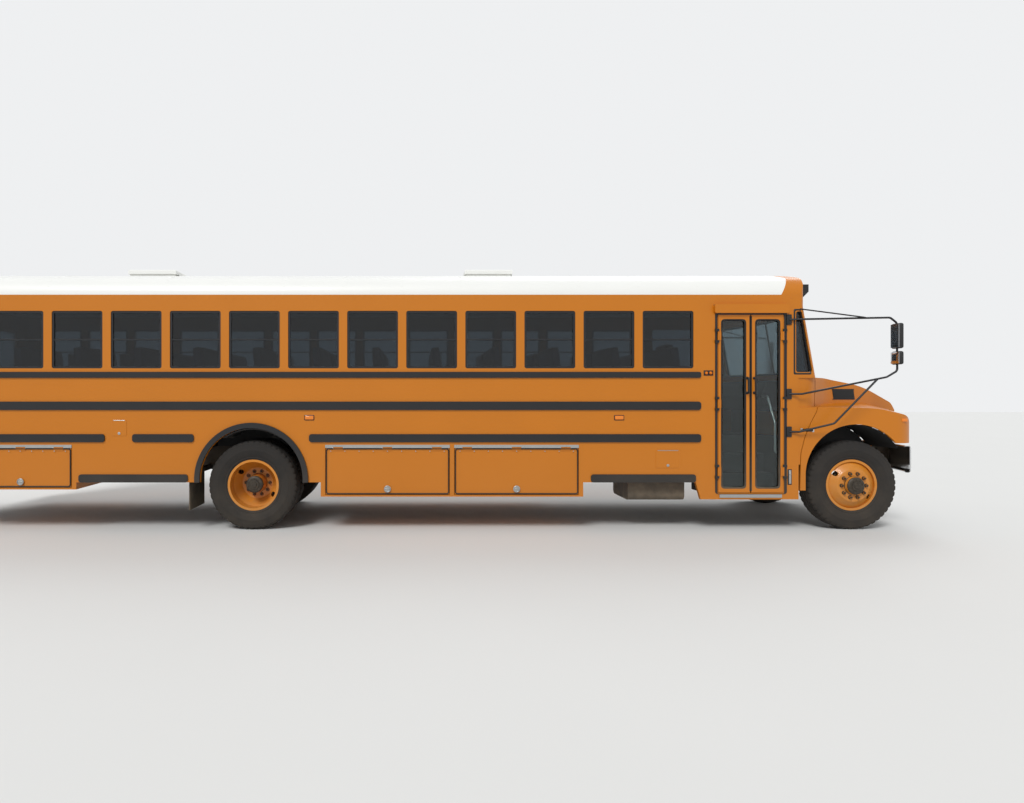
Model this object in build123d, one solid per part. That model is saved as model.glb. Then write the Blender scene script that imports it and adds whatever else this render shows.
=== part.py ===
from build123d import *
import os
from math import cos, radians, sin, tan

# A full-size conventional school bus, in millimetres.
# X points forward, Y to the bus's left and Z up. The origin is on the ground under the middle of
# the bus. Pieces are worked out for the left or the right side and mirrored where both are alike.

# Axles and overall length
WHEELBASE = 7010
FRONT_OVERHANG = 930
REAR_OVERHANG = 4120
NOSE_X = (WHEELBASE + FRONT_OVERHANG + REAR_OVERHANG) / 2
FRONT_AXLE_X = NOSE_X - FRONT_OVERHANG
REAR_AXLE_X = FRONT_AXLE_X - WHEELBASE
TAIL_X = -NOSE_X

# Body shell
BODY_HALF = 1219
WALL = 50
INSIDE_HALF = BODY_HALF - WALL
REAR_BUMPER_DEPTH = 100
BODY_REAR_X = TAIL_X + REAR_BUMPER_DEPTH
REAR_CORNER_R = 150
SKIRT_Z = 563
REAR_PANEL_Z = 640
GUTTER_Z = 2738
CROWN_Z = 3110
CROWN_R = 3500
ROOF_SLOPE = radians(13)
EAVE_R = 225
ROOF_IN = 0.5
REAR_DOME_R = 280
FRONT_DOME_R = 400
FLOOR_Z = 1075
FLOOR_THICK = 50
COWL_BACK = 670
COWL_X = FRONT_AXLE_X - COWL_BACK

# Front of the cabin
SILL_Z = 1773
HEADER_Z = 2600
PILLAR_X = COWL_X - 55
SCREEN_TOP_X = COWL_X + 65
SCREEN_BULGE = 204
SCREEN_R = 3500
SCREEN_CORNER_R = 60
SCREEN_RAKE = radians(10)
SCREEN_HALF = BODY_HALF - 134
SCREEN_LOW = 1840
SCREEN_HIGH = 2545
SCREEN_EDGE_R = 70
GLASS = 8
GLASS_INSET = 20

# Passenger windows
WINDOW_COUNT = 13
WINDOW_PITCH = 685
WINDOW_WIDE = 589
WINDOW_LOW = 1884
WINDOW_HIGH = 2551
WINDOW_EDGE_R = 25
SASH = 24
FIRST_WINDOW_BACK = 573

# Entrance on the right side
DOOR_FRONT_X = COWL_X - 177
DOOR_WIDE = 762
DOOR_REAR_X = DOOR_FRONT_X - DOOR_WIDE
DOOR_LOW = 439
DOOR_HIGH = 2510
DOOR_THICK = 42
DOOR_STILE = 42
DOOR_SEAL = 13
MEETING_GAP = 14
ENTRY_LOW = 366
ENTRY_REAR_X = DOOR_REAR_X - 195
ENTRY_SLANT = 58
RUN_GAP = 6
HINGE_OUT = 10
HINGE_EYE_R = 9
HINGE_PLAY = 0.3
DOOR_PIN_R = 5
FIRST_WINDOW_X = DOOR_REAR_X - FIRST_WINDOW_BACK
STEP_COUNT = 3
STEP_LOW = 424
STEP_DEEP = 210
STEP_THICK = 30

# Rear emergency door
EXIT_HALF = 380
EXIT_LOW = 1085
EXIT_HIGH = 2500
EXIT_THICK = 45
EXIT_STILE = 70
REAR_WINDOW_NEAR = 520
REAR_WINDOW_FAR = BODY_HALF - 209

# Number plate holes on the rear wall
PLATE_Y = BODY_HALF - 439
PLATE_Z = 1120
PLATE_WIDE = 178
PLATE_HIGH = 121
PLATE_HOLE_R = 3.5

# Rub rails and trim
RAIL_OUT = 16
RAIL_BANDS = ((1774, 1843), (1402, 1499), (1029, 1122))
SKIRT_RAIL = (563, 656)
RAIL_FRONT_X = ENTRY_REAR_X
ARCH_R = 597
ARCH_Z = 597
ARCH_TRIM = 60
ARCH_OUT = 30
FLAP_BACK = 730

# Luggage boxes under the floor
BOX_FRAME_GAP = 52
BOX_TOP = 998
BOX_RIM = 52
BOX_BACK = 20
BOX_DOOR_TOP = 960
BOX_DOOR_THICK = 40
MID_BOX_LOW = 397
MID_BOX_REAR_X = REAR_AXLE_X + 802
MID_DOOR_WIDE = 1443
REAR_BOX_LOW = 480
REAR_BOX_FRONT_X = REAR_AXLE_X - 2031
REAR_DOOR_WIDE = 1180
HINGE_STRIP = 8

# Chassis
FRAME_HALF = 432
BOX_DEEP = BODY_HALF - FRAME_HALF - BOX_FRAME_GAP
FRAME_WEB = 12
FRAME_FLANGE = 82
FRAME_LOW = 680
FRAME_HIGH = 940
CROSS_SILL_Z = FRAME_HIGH + 25
CROSS_COUNT = 9

# Wheels
TYRE_R = 520
TYRE_HALF = 139.5
RIM_R = 286
FLANGE_R = 299
RIM_HALF = 108
RIM_THICK = 14
DISC_THICK = 14
FRONT_TRACK_HALF = BODY_HALF - 201
DISC_PROUD = 40
TWIN_OUTER_HALF = BODY_HALF - 193
TWIN_SPACING = 322
BOLT_CIRCLE_R = 142.9
NUT_R = 17
NUT_OUT = 26
NUT_COUNT = 10
HUB_R = 106
PILOT_R = 110
HAND_HOLE_R = 30
HAND_HOLE_AT = 236
KINGPIN_HALF = FRONT_TRACK_HALF - 78
KINGPIN_R = 20
KINGPIN_GAP = 0.3
EAR_GAP = 5
SPINDLE_R = 45
ARM_BACK = 150
TIE_Z = 400
TIE_R = 18
TIE_PIN_R = 12

# Nose: hood, cowl and bumper
NOSE_HALF = BODY_HALF - 6
HOOD_WALL = 26
HOOD_GAP = 8
HOOD_LOW = 1015
LEG_LOW = 468
FRONT_ARCH_R = 590
FRONT_ARCH_Z = 645
BUMPER_LOW = 655
BUMPER_HIGH = 975
BUMPER_HALF = NOSE_HALF - 143
BUMPER_SWEEP = 180
BUMPER_THICK = 60


# Shapes
def block(x_low, x_high, y_low, y_high, z_low, z_high):
    """A plain box between two corners."""
    middle = Pos((x_low + x_high) / 2, (y_low + y_high) / 2, (z_low + z_high) / 2)
    return middle * Box(x_high - x_low, y_high - y_low, z_high - z_low)


def outline(*corners):
    """A closed face whose corners are (a, b) or (a, b, corner radius)."""
    points = [corner[:2] for corner in corners]
    radii = [corner[2] if len(corner) > 2 else 0 for corner in corners]
    if any(radii):
        return make_face(FilletPolyline(*points, radius=radii, close=True))
    return make_face(Polyline(*points, close=True))


def across(face, y_low, y_high):
    """An X-Z face made solid from y_low to y_high."""
    return extrude(Plane.XZ.offset(-y_high) * face, y_high - y_low)


def lengthwise(face, x_low, x_high):
    """A Y-Z face made solid from x_low to x_high."""
    return extrude(Plane.YZ.offset(x_low) * face, x_high - x_low)


def upward(face, z_low, z_high):
    """An X-Y face made solid from z_low to z_high."""
    return extrude(Pos(0, 0, z_low) * face, z_high - z_low)


def rod(start, end, radius):
    """A round bar from one point to another."""
    span = Vector(*end) - Vector(*start)
    return extrude(Plane(origin=start, z_dir=span) * Circle(radius), span.length)


def pipe(points, bend_r, radius):
    """A round tube along straight runs joined by bends."""
    path = FilletPolyline(*points, radius=bend_r)
    return sweep(Plane(origin=path @ 0, z_dir=path % 0) * Circle(radius), path=path)


def other_side(shape):
    """The same shape on the other side of the bus."""
    return mirror(shape, about=Plane.XZ)


def both_sides(shape):
    """A shape and its mirror image, as separate solids."""
    return Compound(children=shape.solids() + other_side(shape).solids())


def together(shapes):
    """Solids that don't touch, kept in one node."""
    return Compound(children=[solid for shape in shapes for solid in shape.solids()])


# Upper body: roof, front cap and the front frame round the windshield
def plan_face(inset, front_x):
    """The body seen from above, with the windshield's bulge at the front."""
    half = BODY_HALF - inset
    rear = BODY_REAR_X + inset
    front = front_x - inset
    return outline(
        (rear, -half, REAR_CORNER_R - inset),
        (front, -half, SCREEN_CORNER_R),
        (front + SCREEN_BULGE, 0, SCREEN_R),
        (front, half, SCREEN_CORNER_R),
        (rear, half, REAR_CORNER_R - inset),
    )


def section_face(inset, z_low):
    """The body's upper cross-section: straight sides, round eaves and a low crown."""
    half = BODY_HALF - ROOF_IN - inset
    crown_r = CROWN_R - inset
    apex = CROWN_Z - inset + crown_r * (1 / cos(ROOF_SLOPE) - 1)
    eave = apex - half * tan(ROOF_SLOPE)
    eave_r = EAVE_R - inset
    return outline(
        (-half, z_low),
        (half, z_low),
        (half, eave, eave_r),
        (0, apex, crown_r),
        (-half, eave, eave_r),
    )


def side_face(inset, z_low):
    """The upper body seen from the side, rounded over at the tail and at the front cap."""
    top = CROWN_Z + 4 - inset
    front = SCREEN_TOP_X + SCREEN_BULGE - inset
    lean = (top - HEADER_Z) * tan(SCREEN_RAKE)
    drop = (HEADER_Z - z_low) * tan(SCREEN_RAKE)
    return outline(
        (BODY_REAR_X + inset, z_low),
        (front + drop, z_low),
        (front - lean, top, FRONT_DOME_R - inset),
        (BODY_REAR_X + inset, top, REAR_DOME_R - inset),
    )


def upper_solid(inset, z_low):
    """The upper body as a solid block, moved in by a wall where inset says so."""
    solid = lengthwise(section_face(inset, z_low), BODY_REAR_X, SCREEN_TOP_X + SCREEN_BULGE)
    solid = solid & across(side_face(inset, z_low), -BODY_HALF, BODY_HALF)
    return solid & upward(plan_face(inset, SCREEN_TOP_X), z_low, CROWN_Z)


def cap_region():
    """Everything ahead of the line where the white roof meets the front cap."""
    low_x = COWL_X - 200
    high_x = COWL_X + 50
    far_x = NOSE_X
    face = outline(
        (PILLAR_X, HEADER_Z),
        (far_x, HEADER_Z),
        (far_x, CROWN_Z + 100),
        (high_x, CROWN_Z + 100),
        (low_x, GUTTER_Z),
        (PILLAR_X, GUTTER_Z),
    )
    return across(face, -BODY_HALF, BODY_HALF)


HATCH_SIZE = 575
HATCH_CURB = 40
HATCH_LID_TOP = CROWN_Z + 80
HATCH_LID_OVER = 14
HATCH_LID_THICK = 25
HATCH_LID_SKIRT = 30
HATCH_CURB_TOP = HATCH_LID_TOP - HATCH_LID_THICK - HINGE_PLAY
HATCH_EYE_R = 7
HATCH_PIN_R = 4
HATCH_EYE_LONG = 90
HATCH_EYE_Y = 150
HATCH_EAR_LONG = 10
HATCH_NOTCH = 12
HATCH_CENTRES = (FRONT_AXLE_X - 4172, REAR_AXLE_X - 1494)


def hatch_hole(centre_x, size, z_low, z_high):
    """A square prism through the roof."""
    half = size / 2
    return block(centre_x - half, centre_x + half, -half, half, z_low, z_high)


def upper_shell():
    """The upper body hollowed out, which the front cap is parted from."""
    return upper_solid(0, HEADER_Z) - upper_solid(WALL, HEADER_Z - WALL)


def roof_block(inset, z_low):
    """The roof as a solid block, rounded over at the tail and square in front."""
    front = COWL_X + 50
    rear = BODY_REAR_X + inset
    half = BODY_HALF - inset
    corner_r = REAR_CORNER_R - inset
    top = CROWN_Z + 4 - inset
    solid = lengthwise(section_face(inset, z_low), BODY_REAR_X, front)
    plan = outline((rear, -half, corner_r), (NOSE_X, -half), (NOSE_X, half), (rear, half, corner_r))
    side = outline((rear, z_low - 5), (NOSE_X, z_low - 5), (NOSE_X, top), (rear, top, REAR_DOME_R - inset))
    return solid & upward(plan, z_low - 5, CROWN_Z + 20) & across(side, -BODY_HALF - 5, BODY_HALF + 5)


def make_roof():
    roof = (roof_block(0, GUTTER_Z) - roof_block(WALL, GUTTER_Z - WALL)) - cap_region()
    for centre_x in HATCH_CENTRES:
        curb = hatch_hole(centre_x, HATCH_SIZE, CROWN_Z - 60, HATCH_CURB_TOP)
        roof = roof + (curb - roof_block(WALL / 2, GUTTER_Z))
        roof = roof - hatch_hole(centre_x, HATCH_SIZE - 2 * HATCH_CURB, GUTTER_Z, HATCH_LID_TOP)
    return roof


def make_front_cap():
    return upper_shell() & cap_region()


def hatch_axis_x(centre_x):
    return centre_x + HATCH_SIZE / 2 + RUN_GAP + HATCH_LID_OVER


def make_hatch_lid(centre_x):
    """A shallow lid that rests on the curb, with a 6 mm running gap inside its skirt."""
    size = HATCH_SIZE + 2 * HATCH_LID_OVER + 2 * RUN_GAP
    low = HATCH_CURB_TOP - HATCH_LID_SKIRT
    lid = hatch_hole(centre_x, size, low, HATCH_LID_TOP)
    lid = chamfer(lid.edges().group_by(Axis.Z)[-1], HATCH_LID_THICK / 2)
    lid = lid - hatch_hole(centre_x, size - 2 * HATCH_LID_OVER, low, HATCH_LID_TOP - HATCH_LID_THICK)
    axis_x = hatch_axis_x(centre_x)
    half = HATCH_EYE_LONG / 2
    notch = half + HATCH_EAR_LONG + RUN_GAP
    for y_at in (-HATCH_EYE_Y, HATCH_EYE_Y):
        lid = lid - block(axis_x - HATCH_LID_OVER, axis_x, y_at - notch, y_at + notch, low, low + HATCH_NOTCH)
        lid = lid + block(axis_x - HATCH_LID_OVER, axis_x, y_at - half, y_at + half, low, low + HATCH_NOTCH)
        eye = Pos(axis_x, y_at, low) * Rot(90, 0, 0)
        lid = lid + eye * Cylinder(HATCH_EYE_R, HATCH_EYE_LONG)
        lid = lid - eye * Cylinder(HATCH_PIN_R + HINGE_PLAY, HATCH_EYE_LONG)
    return lid


def hatch_hinges():
    """The ears on the curbs' front faces and the pins that the hatch lids turn on."""
    low = HATCH_CURB_TOP - HATCH_LID_SKIRT
    solids = []
    for centre_x in HATCH_CENTRES:
        axis_x = hatch_axis_x(centre_x)
        curb_x = centre_x + HATCH_SIZE / 2
        for y_at in (-HATCH_EYE_Y, HATCH_EYE_Y):
            reach = HATCH_EYE_LONG / 2 + HINGE_PLAY
            hinge = Pos(axis_x, y_at, low) * Rot(90, 0, 0) * Cylinder(HATCH_PIN_R, 2 * (reach + HATCH_EAR_LONG))
            for ear_low in (y_at - reach - HATCH_EAR_LONG, y_at + reach):
                ear_high = ear_low + HATCH_EAR_LONG
                hinge = hinge + rod((axis_x, ear_low, low), (axis_x, ear_high, low), HATCH_EYE_R)
                hinge = hinge + block(curb_x, axis_x, ear_low, ear_high, low - HATCH_EYE_R, low)
            solids.append(hinge)
    return together(solids)


def make_front_frame():
    """The frame round the windshield and the two quarter windows, raked like the glass."""
    rise = HEADER_Z - SILL_Z
    lean = Vector(-rise * tan(SCREEN_RAKE), 0, rise)
    low_x = SCREEN_TOP_X + rise * tan(SCREEN_RAKE)
    outer = Solid.extrude(Pos(0, 0, SILL_Z) * plan_face(0, low_x).face(), lean)
    inner = Solid.extrude(Pos(0, 0, SILL_Z) * plan_face(WALL, low_x).face(), lean)
    frame = (outer - inner) & block(PILLAR_X, NOSE_X, -BODY_HALF, BODY_HALF, SILL_Z, HEADER_Z)
    frame = frame - lengthwise(screen_face(), SCREEN_TOP_X, NOSE_X)
    return frame - across(quarter_face(), -BODY_HALF, BODY_HALF)


def screen_face():
    """The windshield's opening, seen from the front."""
    return outline(
        (-SCREEN_HALF, SCREEN_LOW, SCREEN_EDGE_R),
        (SCREEN_HALF, SCREEN_LOW, SCREEN_EDGE_R),
        (SCREEN_HALF, SCREEN_HIGH, SCREEN_EDGE_R),
        (-SCREEN_HALF, SCREEN_HIGH, SCREEN_EDGE_R),
    )


def quarter_face():
    """The small window between the door and the windshield, with a leaning front edge."""
    rear = PILLAR_X + 26
    top_front = SCREEN_TOP_X - 26
    low_front = top_front + (SCREEN_HIGH - SCREEN_LOW) * tan(SCREEN_RAKE)
    return outline(
        (rear, SCREEN_LOW, WINDOW_EDGE_R),
        (low_front, SCREEN_LOW, WINDOW_EDGE_R),
        (top_front, SCREEN_HIGH, WINDOW_EDGE_R),
        (rear, SCREEN_HIGH, WINDOW_EDGE_R),
    )


def windshield():
    rise = HEADER_Z - SILL_Z
    lean = Vector(-rise * tan(SCREEN_RAKE), 0, rise)
    low_x = SCREEN_TOP_X + rise * tan(SCREEN_RAKE)
    base = Pos(0, 0, SILL_Z)
    outer = Solid.extrude(base * plan_face(GLASS_INSET, low_x).face(), lean)
    inner = Solid.extrude(base * plan_face(GLASS_INSET + GLASS, low_x).face(), lean)
    return (outer - inner) & lengthwise(screen_face(), SCREEN_TOP_X, NOSE_X)


# Side walls
def window_face(centre_x, width, z_low, z_high, edge_r):
    """An upright window with round corners, seen from the side."""
    left = centre_x - width / 2
    right = centre_x + width / 2
    return outline(
        (left, z_low, edge_r), (right, z_low, edge_r), (right, z_high, edge_r), (left, z_high, edge_r)
    )


def window_centres():
    """Centres of the passenger windows, from the front to the rear."""
    return [FIRST_WINDOW_X - WINDOW_PITCH * index for index in range(WINDOW_COUNT)]


DRIVER_WINDOW_X = (DOOR_FRONT_X + DOOR_REAR_X) / 2
DRIVER_WINDOW_WIDE = 700


def side_slab(front_low_x):
    """A plain side wall: the skirt, the waist and the window band."""
    rear = BODY_REAR_X + REAR_CORNER_R
    face = outline(
        (rear, SKIRT_Z),
        (front_low_x, SKIRT_Z),
        (front_low_x, SILL_Z),
        (PILLAR_X, SILL_Z),
        (PILLAR_X, GUTTER_Z),
        (rear, GUTTER_Z),
    )
    wall = across(face, INSIDE_HALF, BODY_HALF)
    for centre_x in window_centres():
        hole = window_face(centre_x, WINDOW_WIDE, WINDOW_LOW, WINDOW_HIGH, WINDOW_EDGE_R)
        wall = wall - across(hole, INSIDE_HALF, BODY_HALF)
    wall = wall - arch_cut(ARCH_R)
    for x_low, x_high, z_low in box_spans():
        wall = wall - block(x_low, x_high, INSIDE_HALF, BODY_HALF, z_low - 200, BOX_TOP)
    return wall


def arch_face(radius):
    """The rear wheel arch: a half circle on straight legs."""
    return outline(
        (REAR_AXLE_X - radius, SKIRT_Z - 200),
        (REAR_AXLE_X + radius, SKIRT_Z - 200),
        (REAR_AXLE_X + radius, ARCH_Z),
        (REAR_AXLE_X - radius, ARCH_Z),
    ) + Pos(REAR_AXLE_X, ARCH_Z) * Circle(radius)


def arch_cut(radius):
    return across(arch_face(radius), INSIDE_HALF, BODY_HALF)


def box_spans():
    """Luggage boxes as (rear x, front x, bottom z)."""
    mid_front_x = MID_BOX_REAR_X + 2 * MID_DOOR_WIDE + 3 * BOX_RIM
    rear_box_rear_x = REAR_BOX_FRONT_X - REAR_DOOR_WIDE - 2 * BOX_RIM
    return [
        (MID_BOX_REAR_X, mid_front_x, MID_BOX_LOW),
        (rear_box_rear_x, REAR_BOX_FRONT_X, REAR_BOX_LOW),
    ]


def make_left_wall():
    wall = side_slab(COWL_X)
    window = window_face(DRIVER_WINDOW_X, DRIVER_WINDOW_WIDE, WINDOW_LOW, WINDOW_HIGH, WINDOW_EDGE_R)
    return wall - across(window, INSIDE_HALF, BODY_HALF)


def make_right_wall():
    """The entrance side: its front section reaches lower and holds the doorway."""
    wall = side_slab(COWL_X)
    entry = outline(
        (ENTRY_REAR_X - ENTRY_SLANT, SKIRT_Z),
        (ENTRY_REAR_X, ENTRY_LOW),
        (COWL_X, ENTRY_LOW),
        (COWL_X, SKIRT_Z),
    )
    wall = wall + across(entry, INSIDE_HALF, BODY_HALF)
    wall = wall - block(DOOR_REAR_X, DOOR_FRONT_X, INSIDE_HALF, BODY_HALF, DOOR_LOW, DOOR_HIGH)
    return other_side(wall + door_header())


def door_header():
    """The raised housing over the entrance."""
    length_over = 48
    face = outline(
        (DOOR_REAR_X - length_over, DOOR_HIGH + 12, 20),
        (DOOR_FRONT_X + length_over, DOOR_HIGH + 12, 20),
        (DOOR_FRONT_X + length_over, DOOR_HIGH + 116, 30),
        (DOOR_REAR_X - length_over, DOOR_HIGH + 116, 30),
    )
    return across(face, BODY_HALF, BODY_HALF + 48)


def make_window_frames():
    """A dark sash frame with a middle bar in every side window."""
    frames = []
    for centre_x in window_centres():
        outer = window_face(centre_x, WINDOW_WIDE, WINDOW_LOW, WINDOW_HIGH, WINDOW_EDGE_R)
        bar_z = (WINDOW_LOW + WINDOW_HIGH) / 2
        frame = across(outer, INSIDE_HALF + 8, BODY_HALF - 8)
        half = WINDOW_WIDE / 2 - SASH
        for z_low, z_high in ((WINDOW_LOW + SASH, bar_z - SASH / 3), (bar_z + SASH / 3, WINDOW_HIGH - SASH)):
            frame = frame - block(centre_x - half, centre_x + half, INSIDE_HALF, BODY_HALF, z_low, z_high)
        frames.append(frame)
    return both_sides(together(frames))


def make_fixed_glass():
    """The windshield and the panes in the side, quarter, driver's and rear windows."""
    panes = []
    middle = (INSIDE_HALF + BODY_HALF) / 2
    bar_z = (WINDOW_LOW + WINDOW_HIGH) / 2
    half = WINDOW_WIDE / 2 - SASH
    for centre_x in window_centres():
        for z_low, z_high in ((WINDOW_LOW + SASH, bar_z - SASH / 3), (bar_z + SASH / 3, WINDOW_HIGH - SASH)):
            panes.append(
                block(centre_x - half, centre_x + half, middle - GLASS / 2, middle + GLASS / 2, z_low, z_high)
            )
    panes.append(across(quarter_face(), middle - GLASS / 2, middle + GLASS / 2))
    right = [other_side(pane) for pane in panes]
    driver = window_face(DRIVER_WINDOW_X, DRIVER_WINDOW_WIDE, WINDOW_LOW, WINDOW_HIGH, WINDOW_EDGE_R)
    panes.append(across(driver, middle - GLASS / 2, middle + GLASS / 2))
    return together(panes + right + [windshield()] + rear_panes())


def rail_spans():
    """Rub rails as (rear x, front x, low z, high z)."""
    rear = BODY_REAR_X + REAR_CORNER_R
    spans = [(rear, RAIL_FRONT_X) + RAIL_BANDS[0], (rear, RAIL_FRONT_X) + RAIL_BANDS[1]]
    spans.append((rear, REAR_AXLE_X - 1699) + RAIL_BANDS[2])
    spans.append((REAR_AXLE_X - 1379, REAR_AXLE_X - ARCH_R - ARCH_TRIM - 10) + RAIL_BANDS[2])
    spans.append((REAR_AXLE_X + ARCH_R + ARCH_TRIM + 10, RAIL_FRONT_X) + RAIL_BANDS[2])
    spans.append((REAR_BOX_FRONT_X + 31, REAR_AXLE_X - 736) + SKIRT_RAIL)
    spans.append((box_spans()[0][1] + 88, RAIL_FRONT_X - 60) + SKIRT_RAIL)
    return spans


def make_rub_rails():
    rails = []
    for x_low, x_high, z_low, z_high in rail_spans():
        edge = (z_high - z_low) / 3
        face = outline((x_low, z_low, edge), (x_high, z_low, edge), (x_high, z_high, edge), (x_low, z_high, edge))
        rails.append(across(face, BODY_HALF, BODY_HALF + RAIL_OUT))
    rails.append(arch_flare())
    pieces = both_sides(together(rails))
    return together([pieces, stop_arm_mount()] + door_ears())


def arch_flare():
    """The black flare round a rear wheel arch."""
    ring = arch_face(ARCH_R + ARCH_TRIM) - arch_face(ARCH_R)
    below = Pos(REAR_AXLE_X, SKIRT_Z - 500) * Rectangle(4 * ARCH_R, 1000)
    return across(ring - below, BODY_HALF, BODY_HALF + ARCH_OUT)


def make_mud_flaps():
    flap_x = REAR_AXLE_X - FLAP_BACK
    flap = block(flap_x - 12, flap_x, 600, 1160, 230, 700)
    bracket = block(flap_x, flap_x + 40, FRAME_HALF, 1160, 640, 700)
    return both_sides(flap + bracket)


# Hinges with an upright pin, drawn with the pin at the origin, the door at u > 0 and v pointing outwards
def eye_shape(z_low, z_high, reach):
    """The door's half of a hinge: an eye with an arm to the door's face."""
    middle = (z_low + z_high) / 2
    eye = Pos(0, 0, middle) * Cylinder(HINGE_EYE_R, z_high - z_low)
    eye = eye + block(0, reach, -HINGE_OUT, 0, z_low, z_high)
    return eye - Pos(0, 0, middle) * Cylinder(DOOR_PIN_R + HINGE_PLAY, z_high - z_low + 10)


def ear_shape(z_low, z_high, wall_v):
    """The wall's half: an ear above and below the eye, and the pin through them."""
    ears = Pos(0, 0, (z_low + z_high) / 2) * Cylinder(DOOR_PIN_R, z_high - z_low + 2 * HINGE_EAR)
    for ear_low in (z_low - HINGE_EAR, z_high + HINGE_PLAY):
        ear_high = ear_low + HINGE_EAR - HINGE_PLAY
        ears = ears + block(-40, 5, -5, HINGE_EYE_R, ear_low, ear_high)
        ears = ears + block(-40, -RUN_GAP, wall_v, 0, ear_low, ear_high)
    return ears


HINGE_EAR = 30
HINGE_LONG = 100


def exit_hinge_place():
    """The rear door's hinge line: u runs towards +Y and v towards the rear."""
    return Location(Plane(origin=(BODY_REAR_X - HINGE_OUT, -EXIT_HALF + RUN_GAP, 0), x_dir=(0, 1, 0), z_dir=(0, 0, 1)))


def entrance_hinge_place(front):
    """A leaf's hinge line, drawn on the left side: u runs towards the leaf and v outwards."""
    x_at = DOOR_FRONT_X - RUN_GAP if front else DOOR_REAR_X + RUN_GAP
    return Pos(x_at, LEAF_OUTER_Y + HINGE_OUT, 0)


def hinge_heights(low, high):
    return [(z_at - HINGE_LONG / 2, z_at + HINGE_LONG / 2) for z_at in (low + 250, (low + high) / 2, high - 250)]


def door_eyes(kind):
    """The eyes of the rear door or of one leaf, set in place."""
    if kind == "exit":
        spans = hinge_heights(EXIT_LOW, EXIT_HIGH)
        return [exit_hinge_place() * eye_shape(low, high, 40) for low, high in spans]
    eyes = [eye_shape(low, high, 30) for low, high in hinge_heights(DOOR_LOW, DOOR_HIGH)]
    if kind == "front":
        eyes = [mirror(eye, about=Plane.YZ) for eye in eyes]
    return [other_side(entrance_hinge_place(kind == "front") * eye) for eye in eyes]


def door_ears():
    """The wall's ears for the rear door and both leaves."""
    ears = []
    for low, high in hinge_heights(EXIT_LOW, EXIT_HIGH):
        ears.append(exit_hinge_place() * ear_shape(low, high, -HINGE_OUT))
    wall_v = BODY_HALF - LEAF_OUTER_Y - HINGE_OUT
    for low, high in hinge_heights(DOOR_LOW, DOOR_HIGH):
        ear = ear_shape(low, high, wall_v)
        ears.append(other_side(entrance_hinge_place(True) * mirror(ear, about=Plane.YZ)))
        ears.append(other_side(entrance_hinge_place(False) * ear))
    return ears


# Rear wall and its emergency door
def make_rear_wall():
    ring = upward(plan_face(0, SCREEN_TOP_X), REAR_PANEL_Z, GUTTER_Z)
    ring = ring - upward(plan_face(WALL, SCREEN_TOP_X), REAR_PANEL_Z, GUTTER_Z)
    region = block(BODY_REAR_X, BODY_REAR_X + REAR_CORNER_R, -BODY_HALF, BODY_HALF, REAR_PANEL_Z, GUTTER_Z)
    wall = ring & region
    wall = wall - block(BODY_REAR_X, BODY_REAR_X + WALL, -EXIT_HALF, EXIT_HALF, EXIT_LOW, EXIT_HIGH)
    for window in rear_window_faces():
        wall = wall - lengthwise(window, BODY_REAR_X, BODY_REAR_X + WALL)
    notch_half = FRAME_HALF + RUN_GAP
    wall = wall - block(
        BODY_REAR_X, BODY_REAR_X + REAR_CORNER_R, -notch_half, notch_half, REAR_PANEL_Z, FRAME_HIGH + RUN_GAP
    )
    for y_at in (PLATE_Y - PLATE_WIDE / 2, PLATE_Y + PLATE_WIDE / 2):
        for z_at in (PLATE_Z - PLATE_HIGH / 2, PLATE_Z + PLATE_HIGH / 2):
            wall = wall - rod((BODY_REAR_X, y_at, z_at), (BODY_REAR_X + WALL, y_at, z_at), PLATE_HOLE_R)
    return wall


def rear_window_faces():
    faces = []
    for near, far in ((REAR_WINDOW_NEAR, REAR_WINDOW_FAR), (-REAR_WINDOW_FAR, -REAR_WINDOW_NEAR)):
        faces.append(window_face((near + far) / 2, far - near, WINDOW_LOW, WINDOW_HIGH - 60, WINDOW_EDGE_R))
    return faces


def rear_panes():
    panes = []
    for window in rear_window_faces():
        panes.append(lengthwise(window, BODY_REAR_X + GLASS_INSET, BODY_REAR_X + GLASS_INSET + GLASS))
    return panes


def exit_window_faces():
    """The emergency door's upper and lower panes."""
    half = EXIT_HALF - RUN_GAP - EXIT_STILE
    return [
        window_face(0, 2 * half, WINDOW_LOW, EXIT_HIGH - RUN_GAP - EXIT_STILE, WINDOW_EDGE_R),
        window_face(0, 2 * half, EXIT_LOW + 180, WINDOW_LOW - 140, WINDOW_EDGE_R),
    ]


def make_exit_door():
    half = EXIT_HALF - RUN_GAP
    door = block(
        BODY_REAR_X, BODY_REAR_X + EXIT_THICK, -half, half, EXIT_LOW + RUN_GAP, EXIT_HIGH - RUN_GAP
    )
    for window in exit_window_faces():
        door = door - lengthwise(window, BODY_REAR_X, BODY_REAR_X + EXIT_THICK)
    handle = block(BODY_REAR_X - 45, BODY_REAR_X - 25, half - 65, half - 40, 1480, 1640)
    for z_at in (1490, 1610):
        handle = handle + block(BODY_REAR_X - 30, BODY_REAR_X, half - 65, half - 40, z_at, z_at + 20)
    return door + handle + door_eyes("exit")


def make_exit_glass():
    panes = []
    for window in exit_window_faces():
        panes.append(lengthwise(window, BODY_REAR_X + GLASS_INSET, BODY_REAR_X + GLASS_INSET + GLASS))
    return together(panes)


# Entrance doors and steps
LEAF_OUTER_Y = BODY_HALF + 6


def leaf_span(front):
    """A leaf's hinge edge and its meeting edge."""
    middle = (DOOR_FRONT_X + DOOR_REAR_X) / 2
    if front:
        return middle + MEETING_GAP / 2, DOOR_FRONT_X - RUN_GAP
    return DOOR_REAR_X + RUN_GAP, middle - MEETING_GAP / 2


def leaf_glass_span(front):
    x_low, x_high = leaf_span(front)
    if front:
        return x_low + DOOR_SEAL + DOOR_STILE, x_high - DOOR_STILE
    return x_low + DOOR_STILE, x_high - DOOR_SEAL - DOOR_STILE


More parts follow.
